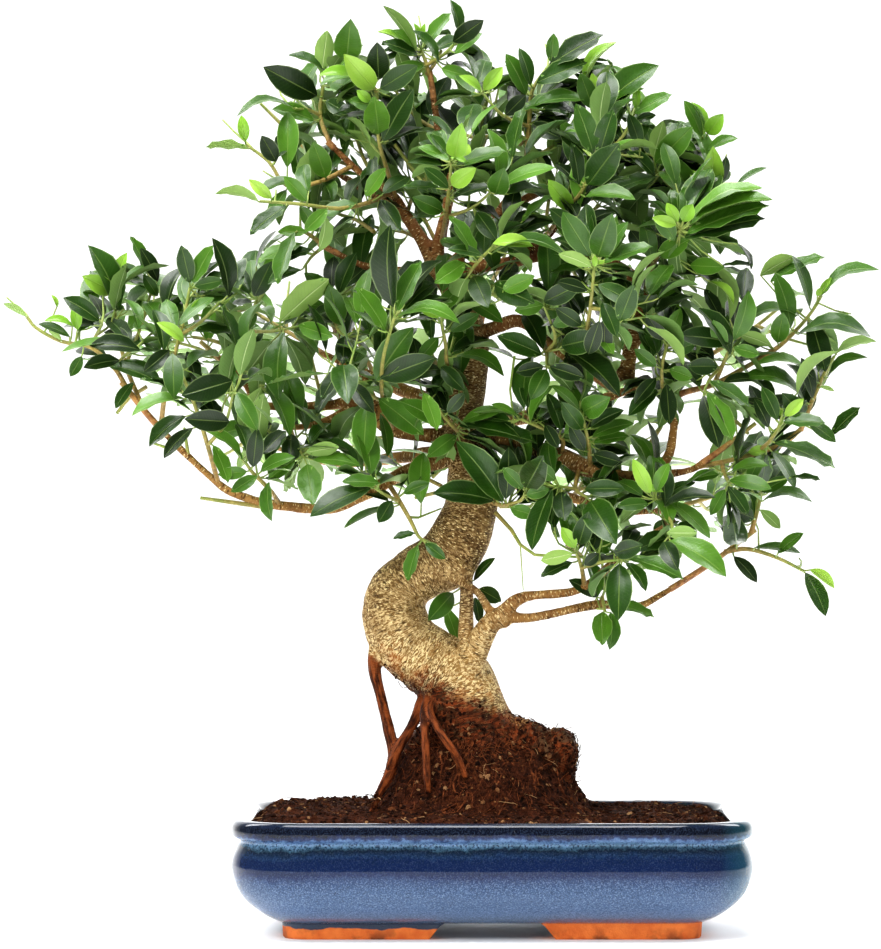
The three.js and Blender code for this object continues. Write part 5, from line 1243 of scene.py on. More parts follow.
# Each spray has its name, its twigs as x, z, y, the first starting in the wood, its blades as base x and z,
# tip x and z, seen width and kind, and shoots that fill the crown behind it. The kind is D dark, M middle
# green, G glossed by the light, P with its pale underside to the front or L young and lime, then a where
# it arches and b where its tip leans back. Small leaves and buds come last.
SPRAYS = [
    ("left_tip", "-250 370 -36, -258 383 -34, -274 397 -32, -294 401 -32, -311 410 -33, -318 418 -34; "
     "-258 383 -34, -250 392 -46, -241 398 -54; -274 397 -32, -270 406 -38, -266 413 -42",
     "-318 418 -334 427 5 P, -288 404 -310 413 6 G, -283 409 -285 427 8 L, -268 415 -293 431 12 D, "
     "-240 395 -275 398 12 D, -254 388 -279 383 10 D, -262 384 -225 371 12 D, -280 391 -288 377 8 G, "
     "-249 400 -294 394 5 M, -294 402 -303 409 4 P, -286 411 -306 415 5 L, -297 424 -301 433 3 L"),
    ("left_rise", "-240 360 -38, -250 385 -20, -256 412 -12, -259 434 -10; -250 385 -20, -240 410 -6, "
     "-234 430 0, -231 441 2",
     "-260 436 -280 446 13 L, -258 438 -249 462 9 L, -255 422 -276 467 16 G, -235 447 -247 473 8 M, "
     "-228 442 -240 465 10 D, -228 432 -238 447 8 G, -245 373 -257 355 8 D",
     "-236 370 -26, -248 362 -18, -256 352 -12"),
    ("left_middle", "-226 342 -42, -222 372 -62, -213 405 -64, -206 438 -62; -213 405 -64, -198 415 -67, "
     "-186 428 -67",
     "-206 441 -212 467 12 G, -204 441 -190 467 11 M, -203 439 -183 443 9 D, -214 412 -189 431 8 M, "
     "-210 401 -229 414 8 L, -205 420 -198 431 6 L, -180 432 -191 472 13 D, -220 395 -238 380 11 D",
     "-171 376 40, -186 388 48, -200 396 54, -214 400 58; -180 398 44, -192 402 54, -204 404 60"),
    ("left_inner", "-187 305 -45, -194 330 -74, -203 358 -88, -215 386 -91; -194 330 -74, -182 345 -94, "
     "-176 368 -105",
     "-210 362 -246 350 8 M, -209 350 -234 329 11 D, -204 342 -224 321 9 D, -179 346 -210 348 15 D, "
     "-177 374 -212 364 18 D, -218 393 -217 362 14 D, -190 330 -180 304 10 M, -174 366 -160 340 13 M"),
    ("left_arm", "-158 360 43, -166 385 26, -168 408 10, -160 430 2; -168 408 10, -150 408 -8, "
     "-133 411 -18; -166 385 26, -160 376 0, -157 368 -16",
     "-162 432 -150 456 14 D, -165 433 -189 440 6 G, -155 436 -138 466 9 M, -160 420 -176 406 10 G, "
     "-145 414 -111 444 17 P, -142 407 -145 361 17 G, -132 412 -108 404 12 M, -157 370 -171 342 15 P, "
     "-155 372 -138 336 12 M, -161 452 -147 477 3 D",
     "-114 357 34, -118 370 48, -122 386 56, -124 398 60"),
    ("left_lower_arm", "-138 342 3, -134 332 -15, -128 322 -32; -134 332 -15, -146 336 -18, -156 342 -18",
     "-137 338 -137 312 13 D, -134 320 -153 306 10 M, -126 317 -122 289 17 M, -122 320 -89 316 9 M, "
     "-127 325 -104 329 10 P, -150 344 -172 356 10 D, -158 344 -190 336 12 Mb, -132 328 -97 326 3 D"),
    ("left_low", "-145 290 -38, -152 300 -58, -163 311 -72, -168 318 -77",
     "-163 315 -160 342 12 D, -167 312 -187 310 9 M, -160 309 -178 298 9 M, -158 312 -134 322 9 M, "
     "-152 305 -150 278 9 M, -170 320 -196 340 7 M"),
    ("left_hanging", "-70 303 -19, -63 292 -43, -55 278 -51, -50 268 -54, -45 264 -54; -63 292 -43, "
     "-72 296 -62, -80 301 -71",
     "-82 301 -124 281 14 D, -76 304 -102 305 9 M, -66 288 -101 273 5 G, -68 292 -77 277 11 D, "
     "-45 263 -31 252 8 D, -50 262 -57 237 9 M, -52 270 -67 266 5 D, -60 297 -42 304 8 M",
     "-20 326 2, -32 316 16, -40 308 24; -34 302 0, -46 308 12, -58 314 18; -28 300 -4, -40 297 8, "
     "-52 294 14"),
    ("left_front", "-66 341 14, -74 360 -25, -74 388 -84, -66 418 -112; -74 360 -25, -88 368 -56, "
     "-100 384 -73",
     "-84 360 -87 320 17 G, -76 352 -71 322 8 M, -77 362 -46 337 17 M, -95 372 -80 352 12 D, "
     "-101 385 -98 358 19 G, -103 383 -116 361 9 D, -79 374 -53 411 19 G, -76 376 -38 390 18 D, "
     "-67 424 -69 481 18 D, -64 422 -47 456 12 M, -64 418 -21 413 9 Ma, -72 408 -92 438 12 M"),
    ("left_crown_low", "-106 407 37, -110 420 20, -106 432 2; -110 420 20, -104 408 -4, -98 404 -14",
     "-103 412 -111 440 15 G, -100 405 -102 385 12 D, -108 432 -128 448 11 M, -104 434 -92 462 12 D, "
     "-112 424 -134 428 10 M, -95 408 -72 402 3 M"),
    ("left_crown_dark", "-114 466 1, -124 474 -12, -132 478 -22; -114 466 1, -122 460 -10, -128 452 -20",
     "-118 476 -131 494 10 M, -126 476 -146 476 8 M, -134 476 -146 440 11 M, -122 464 -148 455 8 G, "
     "-130 450 -153 440 8 D, -128 468 -160 455 8 M"),
    ("crown_left_top", "-65 498 4, -71 518 -24, -77 540 -41, -78 572 -52; -78 572 -52, -88 584 -58, "
     "-98 592 -60",
     "-99 595 -96 622 19 M, -80 574 -101 598 16 L, -77 580 -78 606 16 D, -76 574 -50 590 15 G, "
     "-74 538 -53 574 17 D, -77 543 -80 569 18 M, -90 580 -118 583 7 L, -73 560 -98 566 10 M, "
     "-82 565 -92 573 7 L",
     "-58 487 4, -54 500 26, -50 514 36, -48 528 42; -36 545 -2, -48 552 14, -58 562 22, -66 574 26; "
     "-38 470 4, -46 486 20, -52 500 30, -56 514 34; -34 500 2, -44 510 16, -52 520 24"),
    ("crown_left", "-110 536 0, -117 556 8, -114 580 8; -117 556 8, -126 560 0, -134 560 -8",
     "-116 584 -112 614 13 P, -119 569 -156 589 20 D, -112 584 -139 597 6 D, -121 552 -150 560 11 M, "
     "-135 561 -174 555 5 Ga, -112 576 -92 600 10 M, -113 566 -96 556 11 D",
     "-67 501 4, -84 520 24, -92 540 34, -98 556 38; -90 517 2, -104 524 20, -118 520 36, -130 516 44; "
     "-80 476 10, -92 484 28, -104 488 36"),
    ("crown_left_shoot", "-95 521 1, -118 510 -20, -140 508 -30, -152 524 -34, -168 536 -38",
     "-168 538 -171 556 8 L, -166 533 -196 534 6 P, -147 524 -157 542 12 D, -131 510 -160 502 7 G, "
     "-113 513 -122 538 15 M, -140 505 -152 484 9 M"),
    ("crown_left_out", "-68 503 3, -84 496 -43, -104 492 -71, -130 495 -88, -158 497 -96",
     "-159 497 -189 502 7 P, -140 494 -165 474 10 G, -92 496 -118 486 9 G, -86 500 -72 520 10 M, "
     "-112 492 -128 476 10 M, -126 497 -142 514 10 M, -76 498 -62 476 13 D, -150 499 -166 512 8 L",
     "-47 470 2, -60 476 24, -74 478 38, -88 482 46"),
    ("crown_apex", "-42 582 0, -44 590 -2, -48 601 -2; -44 590 -2, -33 597 -10, -24 606 -14",
     "-51 600 -74 631 8 P, -50 597 -74 606 9 D, -45 604 -27 626 9 M, -22 612 -28 635 8 G, "
     "-26 606 -5 621 13 D, -25 598 -6 612 8 M, -36 592 -54 614 7 D, -46 590 -66 588 9 M, "
     "-34 588 -14 582 10 M, -59 602 -78 613 4 L, -52 601 -69 614 6 M, -45 606 -45 619 4 L, "
     "-50 606 -53 619 4 L",
     "-31 520 -3, -14 536 14, -6 552 22, -2 568 26; -44 584 0, -38 592 12, -34 600 18"),
    ("crown_right_top", "24 523 -10, 26 548 -18, 28 572 -22, 38 588 -22; 26 548 -18, 8 556 -30, -6 571 -36",
     "-7 572 -22 583 6 L, -5 573 8 589 10 L, 10 556 24 570 11 D, 21 560 51 568 9 G, 28 562 64 566 9 M, "
     "24 570 10 598 12 G, 27 576 19 602 9 G, 31 578 66 592 14 D, 40 590 77 611 14 D, 41 592 43 612 9 G, "
     "22 540 -3 532 11 M, 28 550 48 540 11 D",
     "25 526 -10, 34 530 12, 44 536 24, 52 546 28"),
    ("crown_right", "55 494 -16, 62 524 -16, 72 556 -20, 67 568 -22; 62 524 -16, 78 529 -24, 104 527 -32; "
     "78 529 -24, 90 541 -28, 97 555 -30",
     "70 560 61 585 13 M, 74 563 69 585 9 L, 76 560 82 591 8 P, 77 562 115 590 18 D, 76 556 105 574 7 L, "
     "64 575 86 606 6 L, 98 557 124 570 10 M, 99 560 100 576 6 L, 99 552 113 556 6 D, 102 533 94 557 10 D, "
     "66 535 88 530 11 D, 62 530 48 552 13 M, 62 585 85 588 3 M",
     "38 473 -14, 38 486 8, 40 500 18, 44 512 24; 57 497 -16, 76 500 6, 94 504 16, 108 508 20; 57 480 -6, "
     "66 488 10, 74 494 18"),
    ("right_shoulder", "103 440 -4, 116 470 4, 132 498 8, 142 522 8, 146 540 6; 132 498 8, 144 500 -6, "
     "152 506 -12; 132 498 8, 122 508 -8, 113 518 -16",
     "144 541 132 566 11 M, 148 543 159 557 12 L, 141 532 122 540 8 M, 148 532 169 540 7 M, "
     "141 524 129 532 8 D, 112 523 138 548 17 M, 111 526 118 552 11 P, 152 508 152 535 15 L, "
     "156 509 161 528 7 D, 140 498 120 530 17 M, 134 494 116 525 10 D, 112 514 93 531 9 D, "
     "114 514 74 500 10 D, 147 504 136 519 8 L, 145 541 137 565 5 L, 152 508 152 517 3 L, "
     "167 507 189 520 4 G, 133 474 153 477 4 P",
     "84 454 -4, 100 468 14, 116 480 22, 128 492 26"),
    ("right_whorl", "104 436 -7, 112 456 -45, 122 470 -70, 130 478 -81",
     "127 481 110 486 8 L, 128 483 120 496 8 L, 131 483 138 495 10 L, 134 475 191 494 13 M, "
     "135 480 193 498 9 M, 136 484 186 506 8 M, 132 472 188 485 15 D, 126 470 112 492 12 M, "
     "114 460 136 471 13 M, 110 456 104 484 12 G, 118 464 144 452 11 Mb, 158 453 180 453 3 D, "
     "168 468 178 450 3 D, 150 442 166 426 5 L, 112 451 159 443 9 D, 136 453 160 452 12 M, "
     "146 437 157 417 9 D, 107 433 128 437 9 M, 111 430 130 423 5 L",
     "104 434 -6, 120 440 12, 136 446 20, 152 454 24"),
    ("centre_right", "58 385 -32, 64 402 -80, 68 424 -110, 71 455 -122; 68 424 -110, 80 422 -122, "
     "88 417 -124",
     "68 459 49 490 16 G, 73 459 83 489 18 G, 78 457 94 483 9 G, 77 455 111 466 9 G, 69 452 46 461 9 P, "
     "73 440 99 426 12 G, 88 415 98 440 14 G, 76 428 86 404 11 D, 66 436 45 442 9 D, 72 410 84 392 9 M, "
     "62 412 44 424 11 D, 71 452 71 460 4 L, 72 455 78 456 3 L",
     "50 462 -6, 58 446 12, 62 432 20, 66 420 24"),
    ("crown_front_right", "36 471 -13, 50 490 -59, 62 504 -84, 71 526 -96; 50 490 -59, 56 484 -82, "
     "60 478 -98",
     "70 529 58 564 15 G, 74 528 84 560 14 D, 66 508 88 537 20 G, 60 508 55 537 10 D, 64 500 99 498 9 M, "
     "62 478 90 470 12 D, 56 490 39 512 12 L, 58 492 71 510 10 D, 58 478 40 492 12 D, 40 477 12 484 5 L"),
    ("crown_front", "-34 468 -3, -31 486 -58, -29 503 -91, -27 524 -105; -31 486 -58, -14 492 -80, "
     "1 504 -91",
     "-25 527 -20 551 14 L, -28 525 -50 534 7 M, -29 528 -42 543 7 G, -24 522 11 531 8 M, "
     "5 510 -3 547 10 M, -29 506 -46 520 9 G, -27 508 -10 520 12 L, 3 502 9 520 15 G, -26 500 0 507 7 G, "
     "-33 490 -54 500 12 M, -10 490 4 470 12 D, 4 506 44 520 9 M, -20 528 -15 536 8 L, -28 527 -16 523 4 L",
     "20 536 -4, 26 542 14, 30 550 20"),
    ("centre_front", "-22 421 -8, -20 438 -56, -12 452 -98, 0 465 -112; -20 438 -56, -6 434 -81, 8 432 -95",
     "1 468 29 466 9 L, 0 461 51 460 7 Ga, -6 460 -30 464 7 G, -10 457 -29 487 9 M, -18 455 -39 441 13 M, "
     "-12 446 -2 424 15 D, 2 440 30 427 16 D, -18 430 8 414 11 M, -22 438 -36 422 11 M, 8 436 30 446 12 M",
     "-12 522 -4, -8 530 12, -4 538 20"),
    ("centre_low", "34 405 -22, 38 394 -47, 38 384 -70; 38 394 -47, 44 404 -67, 36 426 -84; 38 394 -47, "
     "47 396 -64",
     "35 392 4 405 14 D, 36 384 17 380 10 D, 38 382 27 361 13 D, 40 384 64 376 11 D, 50 396 88 363 15 D, "
     "48 398 76 404 17 D, 36 426 16 422 10 M, 36 428 61 440 14 D, 42 412 60 420 10 M"),
    ("trunk_shoot", "-22 378 -12, -30 386 -32, -31 398 -46, -34 414 -57",
     "-24 391 9 377 9 Ma, -34 384 -18 367 11 D, -36 404 -50 388 10 M, -28 408 -8 420 10 G, "
     "-34 418 -52 430 10 L",
     "-24 374 12, -36 384 26, -42 396 34; -38 386 14, -50 382 24, -62 376 30"),
    ("trunk_front", "-17 336 -13, -24 341 -37, -31 348 -54, -42 362 -62",
     "-46 366 -37 340 11 M, -30 352 -18 366 9 D, -32 344 -62 360 13 G, -22 344 32 331 12 D, "
     "-24 337 -44 322 12 M, -20 346 8 354 9 M"),
    ("trunk_low", "-3 293 -15, 8 289 -42, 20 292 -58, 24 299 -64",
     "8 291 -24 333 20 G, 10 293 12 329 15 D, 24 301 36 323 19 D, 13 287 30 282 10 M, 22 300 8 315 9 M, "
     "2 292 -40 297 16 D, 24 296 40 300 9 M"),
    ("right_upright", "68 315 -33, 67 330 -54, 63 349 -65",
     "63 353 82 363 16 M, 61 353 41 371 7 M, 62 341 48 360 12 D, 68 342 91 354 10 D, 69 336 98 345 9 M, "
     "70 332 95 336 8 M, 64 326 54 344 10 D, 70 324 90 318 10 D"),
    ("right_slender", "47 323 -27, 49 334 -42, 36 341 -54, 20 348 -59",
     "18 350 0 358 5 M, 27 346 43 371 7 M, 48 340 38 366 10 D, 37 344 46 328 9 D, 50 338 66 352 9 M"),
    ("right_arm_tuft", "125 350 -28, 118 366 -45, 117 384 -53, 121 400 -53",
     "114 368 94 350 11 G, 120 372 122 344 12 D, 113 376 98 358 10 D, 122 382 138 376 10 M, "
     "113 384 98 396 9 M, 122 402 130 424 10 M, 118 402 106 420 11 D, 124 394 140 400 10 M",
     "127 363 -26, 122 356 -6, 118 346 8, 112 338 14"),
    ("right_reach", "152 371 -34, 158 384 -51, 164 398 -59; 158 384 -51, 150 376 -65, 146 368 -70",
     "148 366 165 333 13 M, 145 364 156 328 16 D, 150 374 177 356 9 G, 164 400 128 405 14 D, "
     "166 397 184 392 9 M, 160 396 152 416 11 M, 155 384 134 384 12 D, 166 402 176 436 13 M, "
     "164 392 142 424 12 D"),
    ("right_shoot_high", "181 387 -36, 196 397 -32, 206 406 -28, 216 417 -26, 224 428 -24",
     "218 424 206 460 8 D, 226 432 266 450 8 Ma, 225 433 233 445 6 L, 212 418 173 414 7 Ma, "
     "196 400 200 421 13 G, 192 398 170 406 9 P, 210 406 260 404 12 Ga, 219 416 229 380 16 D, "
     "205 410 194 448 13 M, 191 442 229 459 8 M, 184 446 208 459 11 P, 223 432 226 438 4 L, "
     "247 420 228 416 3 M"),
    ("right_shoot_low", "212 340 -24, 218 356 -28, 224 370 -28, 229 381 -28, 235 391 -28",
     "236 393 264 401 7 P, 230 376 258 390 6 Ma, 220 362 212 390 9 D, 222 374 180 385 5 Ma, "
     "215 360 170 376 10 Ga, 214 350 199 366 14 D, 233 337 253 356 9 D, 217 346 236 332 9 M, "
     "205 352 190 350 5 L, 213 350 205 347 5 L, 225 370 235 367 3 P"),
    ("right_fork", "180 324 -30, 190 332 -52, 198 344 -66",
     "196 347 185 370 10 D, 190 342 180 362 9 D, 200 346 229 345 9 G, 201 350 214 362 8 L, "
     "194 332 236 314 10 D, 186 324 176 304 9 G, 192 326 208 300 8 G, 176 325 190 328 7 L",
     "108 330 -26, 116 342 -10, 120 352 0; 158 350 -30, 168 346 -20, 176 338 -14"),
    ("right_fork_low", "158 318 -34, 160 310 -51, 163 304 -62",
     "163 306 192 300 10 M, 156 310 136 306 8 M, 162 302 176 282 9 D, 160 300 150 282 9 M, "
     "164 312 190 316 7 M, 205 308 226 306 4 D"),
    ("low_right_tip", "120 275 -55, 118 286 -73, 112 294 -84; 118 286 -73, 124 276 -93, 122 268 -104",
     "109 297 97 321 10 L, 118 288 154 294 8 D, 120 270 141 270 10 P, 122 265 161 240 16 M, "
     "118 264 128 244 13 D, 122 292 150 266 10 M, 108 290 86 288 9 M, 113 298 122 318 9 M, "
     "103 300 118 298 5 L"),
    ("low_right_end", "178 270 9, 182 284 8, 185 296 6",
     "183 300 164 318 9 D, 184 286 198 273 8 P, 186 292 220 291 7 Ma, 185 298 204 308 9 M, "
     "180 280 165 286 12 D"),
    ("low_right_pendant", "160 257 6, 176 259 -6, 196 253 -12, 214 244 -14",
     "168 262 165 286 17 D, 166 254 182 236 9 D, 180 260 212 256 6 M, 215 243 229 213 12 D, "
     "218 245 235 232 7 L, 196 256 214 270 8 M"),
    ("low_right_front", "64 234 -37, 62 246 -61, 58 258 -72; 62 246 -61, 76 250 -78, 90 252 -86",
     "88 249 87 210 18 D, 92 250 106 230 8 D, 94 253 132 238 10 M, 60 262 67 285 13 D, 56 256 34 251 10 P, "
     "56 250 34 240 8 D, 64 248 74 256 8 D, 84 256 104 262 13 D, 58 260 48 274 9 L"),
    ("low_right_drop", "76 219 -15, 76 226 -26, 78 216 -34",
     "76 216 76 193 14 M, 82 216 81 190 10 M, 73 226 53 238 9 D, 82 222 112 212 7 M"),
    ("right_inner", "60 313 -33, 58 300 -54, 66 294 -68; 58 300 -54, 46 302 -65",
     "42 300 28 258 14 D, 48 298 50 278 14 D, 68 292 86 262 22 D, 64 300 92 300 12 D, 44 306 30 318 10 M, "
     "82 311 94 302 3 L",
     "52 262 -24, 60 256 -10, 66 250 -2"),
    ("back_low_left", "-137 325 103, -165 335 118, -190 350 124, -214 370 124; -165 335 118, -178 326 134, "
     "-192 320 146; -165 335 118, -160 355 136, -158 374 150",
     ""),
    ("back_left_inner", "-88 320 74, -90 334 98, -96 350 122, -102 368 142; -90 334 98, -72 336 116, "
     "-56 342 132",
     ""),
    ("back_left", "-115 393 82, -140 408 98, -166 424 106, -188 444 106; -140 408 98, -140 424 122, "
     "-138 442 138; -166 424 106, -186 418 90, -206 420 76",
     ""),
    ("back_left_mid", "-78 375 60, -88 395 78, -98 420 92, -104 446 98; -88 395 78, -74 405 104, "
     "-62 416 124",
     ""),
    ("back_centre", "-6 421 94, 0 440 118, 8 456 136, 12 474 146; 0 440 118, 20 440 134, 40 446 146; "
     "0 440 118, -20 448 134, -40 460 144",
     ""),
    ("back_right", "137 384 87, 160 398 92, 182 412 90, 204 430 82; 160 398 92, 164 410 114, 168 426 128; "
     "182 412 90, 200 404 74, 220 398 60",
     ""),
    ("back_right_mid", "58 356 58, 66 375 84, 74 395 104, 78 416 116; 66 375 84, 88 380 108, 108 390 126; "
     "66 375 84, 50 382 104, 38 394 118",
     ""),
    ("back_low_right", "117 285 83, 142 292 92, 166 300 90, 190 312 82; 142 292 92, 148 286 114, "
     "156 284 130",
     ""),
    ("back_low_mid", "55 294 59, 60 300 84, 66 312 106, 70 326 122; 60 300 84, 82 304 104, 100 312 120",
     ""),
    ("back_top", "-16 526 65, -10 540 84, -6 556 92, -5 568 90; -10 540 84, 12 544 100, 32 548 110; "
     "-10 540 84, -30 546 102, -48 552 112",
     ""),
    ("back_top_left", "-115 522 62, -132 538 74, -146 552 76, -158 564 72; -132 538 74, -124 550 98, "
     "-112 560 112",
     ""),
    ("back_top_right", "86 524 62, 106 534 76, 124 544 78, 140 552 72; 106 534 76, 100 546 98, 92 556 112; "
     "106 534 76, 122 520 88, 138 510 94",
     "")]
# A short shoot with leaves in the crook of the trunk
CROOK_STEM = table("-20 241 -14, -20 233 -2, -18 224 8, -12 218 14")[0]
CROOK_LEAVES = ("-26 229 -43 210 14 D, -31 219 -23 196 10 M, -8 232 7 223 11 D, -11 226 -8 208 7 D, "
                "-12 237 3 253 6 D, -4 211 3 201 6 D")
# The crown's edge as seen, and round gaps in it through which the light shows, as x, z and radius
CROWN_EDGE = table(
    "-294 429, -278 443, -268 455, -251 458, -233 449, -216 455, -196 455, -180 455, -164 460, -148 474, "
    "-138 494, -148 505, -144 522, -157 532, -150 553, -141 577, -124 587, -112 604, -97 604, -73 604, "
    "-55 611, -35 614, -11 611, -1 594, 20 590, 37 592, 57 600, 81 594, 95 577, 112 559, 136 553, "
    "151 542, 158 525, 170 508, 167 488, 167 467, 187 450, 211 446, 222 429, 235 416, 239 395, 232 375, "
    "220 354, 211 334, 208 313, 191 299, 177 282, 167 265, 153 255, 136 258, 122 248, 102 238, 92 224, "
    "73 224, 61 234, 39 238, 27 251, 20 279, 10 299, -8 306, -35 313, -45 299, -62 293, -90 293, "
    "-117 293, -144 299, -165 306, -182 313, -206 323, -220 337, -237 361, -254 378, -281 388, -295 405")[0]
CROWN_GAPS = table(
    "6 371 19, -144 446 19, -131 481 11, -73 344 15, -100 358 10, -189 334 16, 142 330 14, 191 423 14, "
    "205 399 12, 92 354 8, 47 251 16, 143 293 11, -114 392 8, 6 409 7, 23 340 8, 16 412 10, -124 443 12, "
    "-45 405 8, -73 427 8, -179 355 10, 205 436 8, 150 402 6, 201 368 12, 112 553 7, -142 518 8")[0]
LEAF_ASPECT = 0.42
YOUNG_ASPECT = 0.36
LONGEST_LEAF = 50
STALK = 8
STALK_RADIUS = 0.62
LEAST_LEAN = 1.03
TWIG_START = 1.9
TWIG_END = 1.05
FORK_SHARE = 0.8
CROWN_MIDDLE = (-34, 420)
RULED_AGES = (0.05, 0.12, 0.2, 0.3, 0.4)
GOLDEN_TURN = math.pi * (3 - math.sqrt(5))
SPACING = 9
INNER_SPACING = 6
# How young each kind of leaf is, from dark and old to lime
AGE = {"D": 0.06, "M": 0.36, "G": 0.22, "P": 0.42, "L": 0.86}
# Half widths of a blade from its base to its drawn-out tip, as shares of its full width
BLADE_STATIONS = [(0.04, 0.09), (0.12, 0.235), (0.25, 0.395), (0.41, 0.485), (0.57, 0.50), (0.72, 0.435),
    (0.85, 0.30), (0.94, 0.135)]
BLADE_COLUMNS = (-1, -0.52, 0, 0.52, 1)
# Each form of blade: how far its halves fold up, how high its middle arches, how much its edge waves
BLADE_FORMS = [(0.10, 0.06, 0.0), (0.22, 0.09, 0.015), (0.15, 0.03, 0.03), (0.30, 0.12, 0.0),
    (0.12, 0.20, 0.01)]
ARCHED_FORM = 4
YOUNG_FORM = 3


def blade_form(number, fold, arch, wave):
    """A blade one unit long and one wide, its top in four strips and its underside in two."""
    points = [(0, 0, 0)]
    marks = [(0, 0)]
    for row, (t, half) in enumerate(BLADE_STATIONS):
        rise = arch * math.sin(math.pi * t)
        for column in BLADE_COLUMNS:
            lift = fold * abs(column) * half * 0.9 + 0.01 * (1 - column ** 2)
            ripple = wave * math.sin(row * 2.3 + column * 1.7 + number) * abs(column)
            points.append((column * half, t, rise + lift + ripple))
            marks.append((column, t))
    for t, half in BLADE_STATIONS:
        points.append((0, t, arch * math.sin(math.pi * t) - 0.012))
        marks.append((0, t))
    points.append((0, 1, 0))
    marks.append((0, 1))
    rows = len(BLADE_STATIONS)
    last = rows - 1
    tip = len(points) - 1

    def top(row, column):
        return 1 + row * 5 + column

    def under(row):
        return 1 + rows * 5 + row

    faces = []
    for column in range(4):
        faces.append((0, top(0, column + 1), top(0, column)))
        faces.append((top(last, column), top(last, column + 1), tip))
        for row in range(last):
            faces.append((top(row, column), top(row, column + 1), top(row + 1, column + 1),
                top(row + 1, column)))
    top_count = len(faces)
    for left, step in ((0, 1), (4, -1)):
        for row in range(last):
            faces.append((top(row, left), top(row + 1, left), under(row + 1), under(row))[::step])
        faces.append((0, top(0, left), under(0))[::step])
        faces.append((top(last, left), tip, under(last))[::step])
    mesh = plain_mesh(f"blade_{number}", points, [], faces)
    mesh.polygons.foreach_set("use_smooth", [True] * len(faces))
    mark(mesh, "across", [column for column, _ in marks])
    mark(mesh, "lengthwise", [t for _, t in marks])
    mark(mesh, "below", [0.0] * top_count + [1.0] * (len(faces) - top_count), domain="FACE")
    mark(mesh, "leafy", [1.0] * len(points))
    rim = set()
    for side in (0, 4):
        edge = [0] + [top(row, side) for row in range(rows)] + [tip]
        rim |= {frozenset(pair) for pair in zip(edge, edge[1:])}
    mark(mesh, "sharp_edge", [frozenset(edge.vertices) in rim for edge in mesh.edges], "BOOLEAN", "EDGE")
    return mesh


def spray_rule():
    """Leaves at the points of a mesh that have a size, and stems along its edges."""
    group, entry = new_rule("leafy spray", blades="Collection", blade_size=1.0, stem_girth=1.0,
        stem_sides=5, leaf_finish="Material", stem_finish="Material")
    size = named(group, "blade_size", "FLOAT_VECTOR")
    has_leaf = maths("GREATER_THAN", axis_of(size, 1), 0.0001)
    spots = grow(group, "MeshToPoints", {"Mesh": entry["Geometry"], "Selection": has_leaf})
    angles = named(group, "blade_turn", "FLOAT_VECTOR")
    turn = node(group, "FunctionNodeEulerToRotation", {0: angles}).outputs[0]
    scale = node(group, "ShaderNodeVectorMath", {0: size, "Scale": entry["Blade size"]},
        operation="SCALE").outputs[0]
    leaves = grow(group, "InstanceOnPoints", {"Points": spots, "Instance": forms_of(group, entry["Blades"]),
        "Pick Instance": True, "Instance Index": named(group, "blade_form", "INT"), "Rotation": turn,
        "Scale": scale})
    stems = stems_along(group, entry["Geometry"], entry["Stem sides"], entry["Stem girth"])
    stemmed = made_real(group, joined(group, (leaves, stems)), entry["Stem finish"])
    is_leaf = maths("GREATER_THAN", named(group, "leafy"), 0.5)
    return hand_out(group, grow(group, "SetMaterial", {"Geometry": stemmed, "Selection": is_leaf,
        "Material": entry["Leaf finish"]}))


def veins_group():
    """A leaf's midrib, its side veins that leave it slantwise, and its thin pale edge."""
    group, entry = new_group("leaf veins", "ShaderNodeTree", {"Across": 0.0, "Lengthwise": 0.0,
        "Veins": 17.0}, {"Midrib": "Float", "Side veins": "Float", "Edge": "Float"})
    out = maths("ABSOLUTE", entry["Across"])
    slant = less(entry["Lengthwise"], times(out, 0.16))
    wave = maths("SINE", times(times(slant, entry["Veins"]), 2 * math.pi))
    side = times(spread_over(wave, 0.72, 1.0), spread_over(out, 0.98, 0.75))
    node(group, "NodeGroupOutput", {"Midrib": spread_over(out, 0.07, 0.02), "Side veins": side,
        "Edge": spread_over(out, 0.90, 0.985)})
    return group


def leaf_finish():
    finish, place, surface = new_finish("banyan leaf", roughness=0.32, specular_ior_level=0.42,
        coat_roughness=0.16)
    age, below = layer(surface, "age"), layer(surface, "below")
    veins = node(surface.id_data, "ShaderNodeGroup", node_tree=VEINS)
    feed(veins, "Across", layer(surface, "across"))
    feed(veins, "Lengthwise", layer(surface, "lengthwise"))
    midrib, side_veins, edge = veins.outputs
    uneven = times(less(mottling(place, 70.0, 3.0, 0.2, 0.8), 0.5), 0.14)
    # Age and tone also carry painted shade: the leaves behind the traced ones are given lower values
    shade = plus(plus(age, uneven), times(less(layer(surface, "tone"), 0.5), 0.22), limited=True)
    top = ramp(shade, [(0.0, "#122606"), (0.14, "#203e0a"), (0.34, "#3b6018"), (0.58, "#588228"),
        (0.8, "#709a30"), (1.0, "#88aa42")])
    top = mixed(times(side_veins, 0.03), top, "#7f9a52")
    top = mixed(times(midrib, 0.22), top, "#a4bd69")
    top = mixed(times(edge, 0.3), top, "#a9c07c")
    under = ramp(shade, [(0.0, "#56743a"), (0.4, "#76924d"), (1.0, "#9dbd5c")])
    under = mixed(times(side_veins, 0.2), under, "#6d8c56")
    under = mixed(times(midrib, 0.6), under, "#c3d69b")
    specks = times(flecks(place, 420.0, 0.22, 0.06), less(1.0, age))
    top = mixed(times(specks, 0.4), top, "#6d7f45")
    feed(surface, "Base Color", mixed(below, top, under))
    worn = spread_over(mottling(place, 130.0, 3.0, 0.3, 0.7), 0.0, 1.0, 0.30, 0.44)
    feed(surface, "Roughness", plus(worn, times(below, 0.26)))
    feed(surface, "Coat Weight", spread_over(below, 0.0, 1.0, 0.1, 0.0))
    ribs = less(times(mottling(place, 260.0), 0.3), plus(midrib, times(side_veins, 0.15)))
    bumped(surface, ribs, 0.0004, 0.7)
    return finish


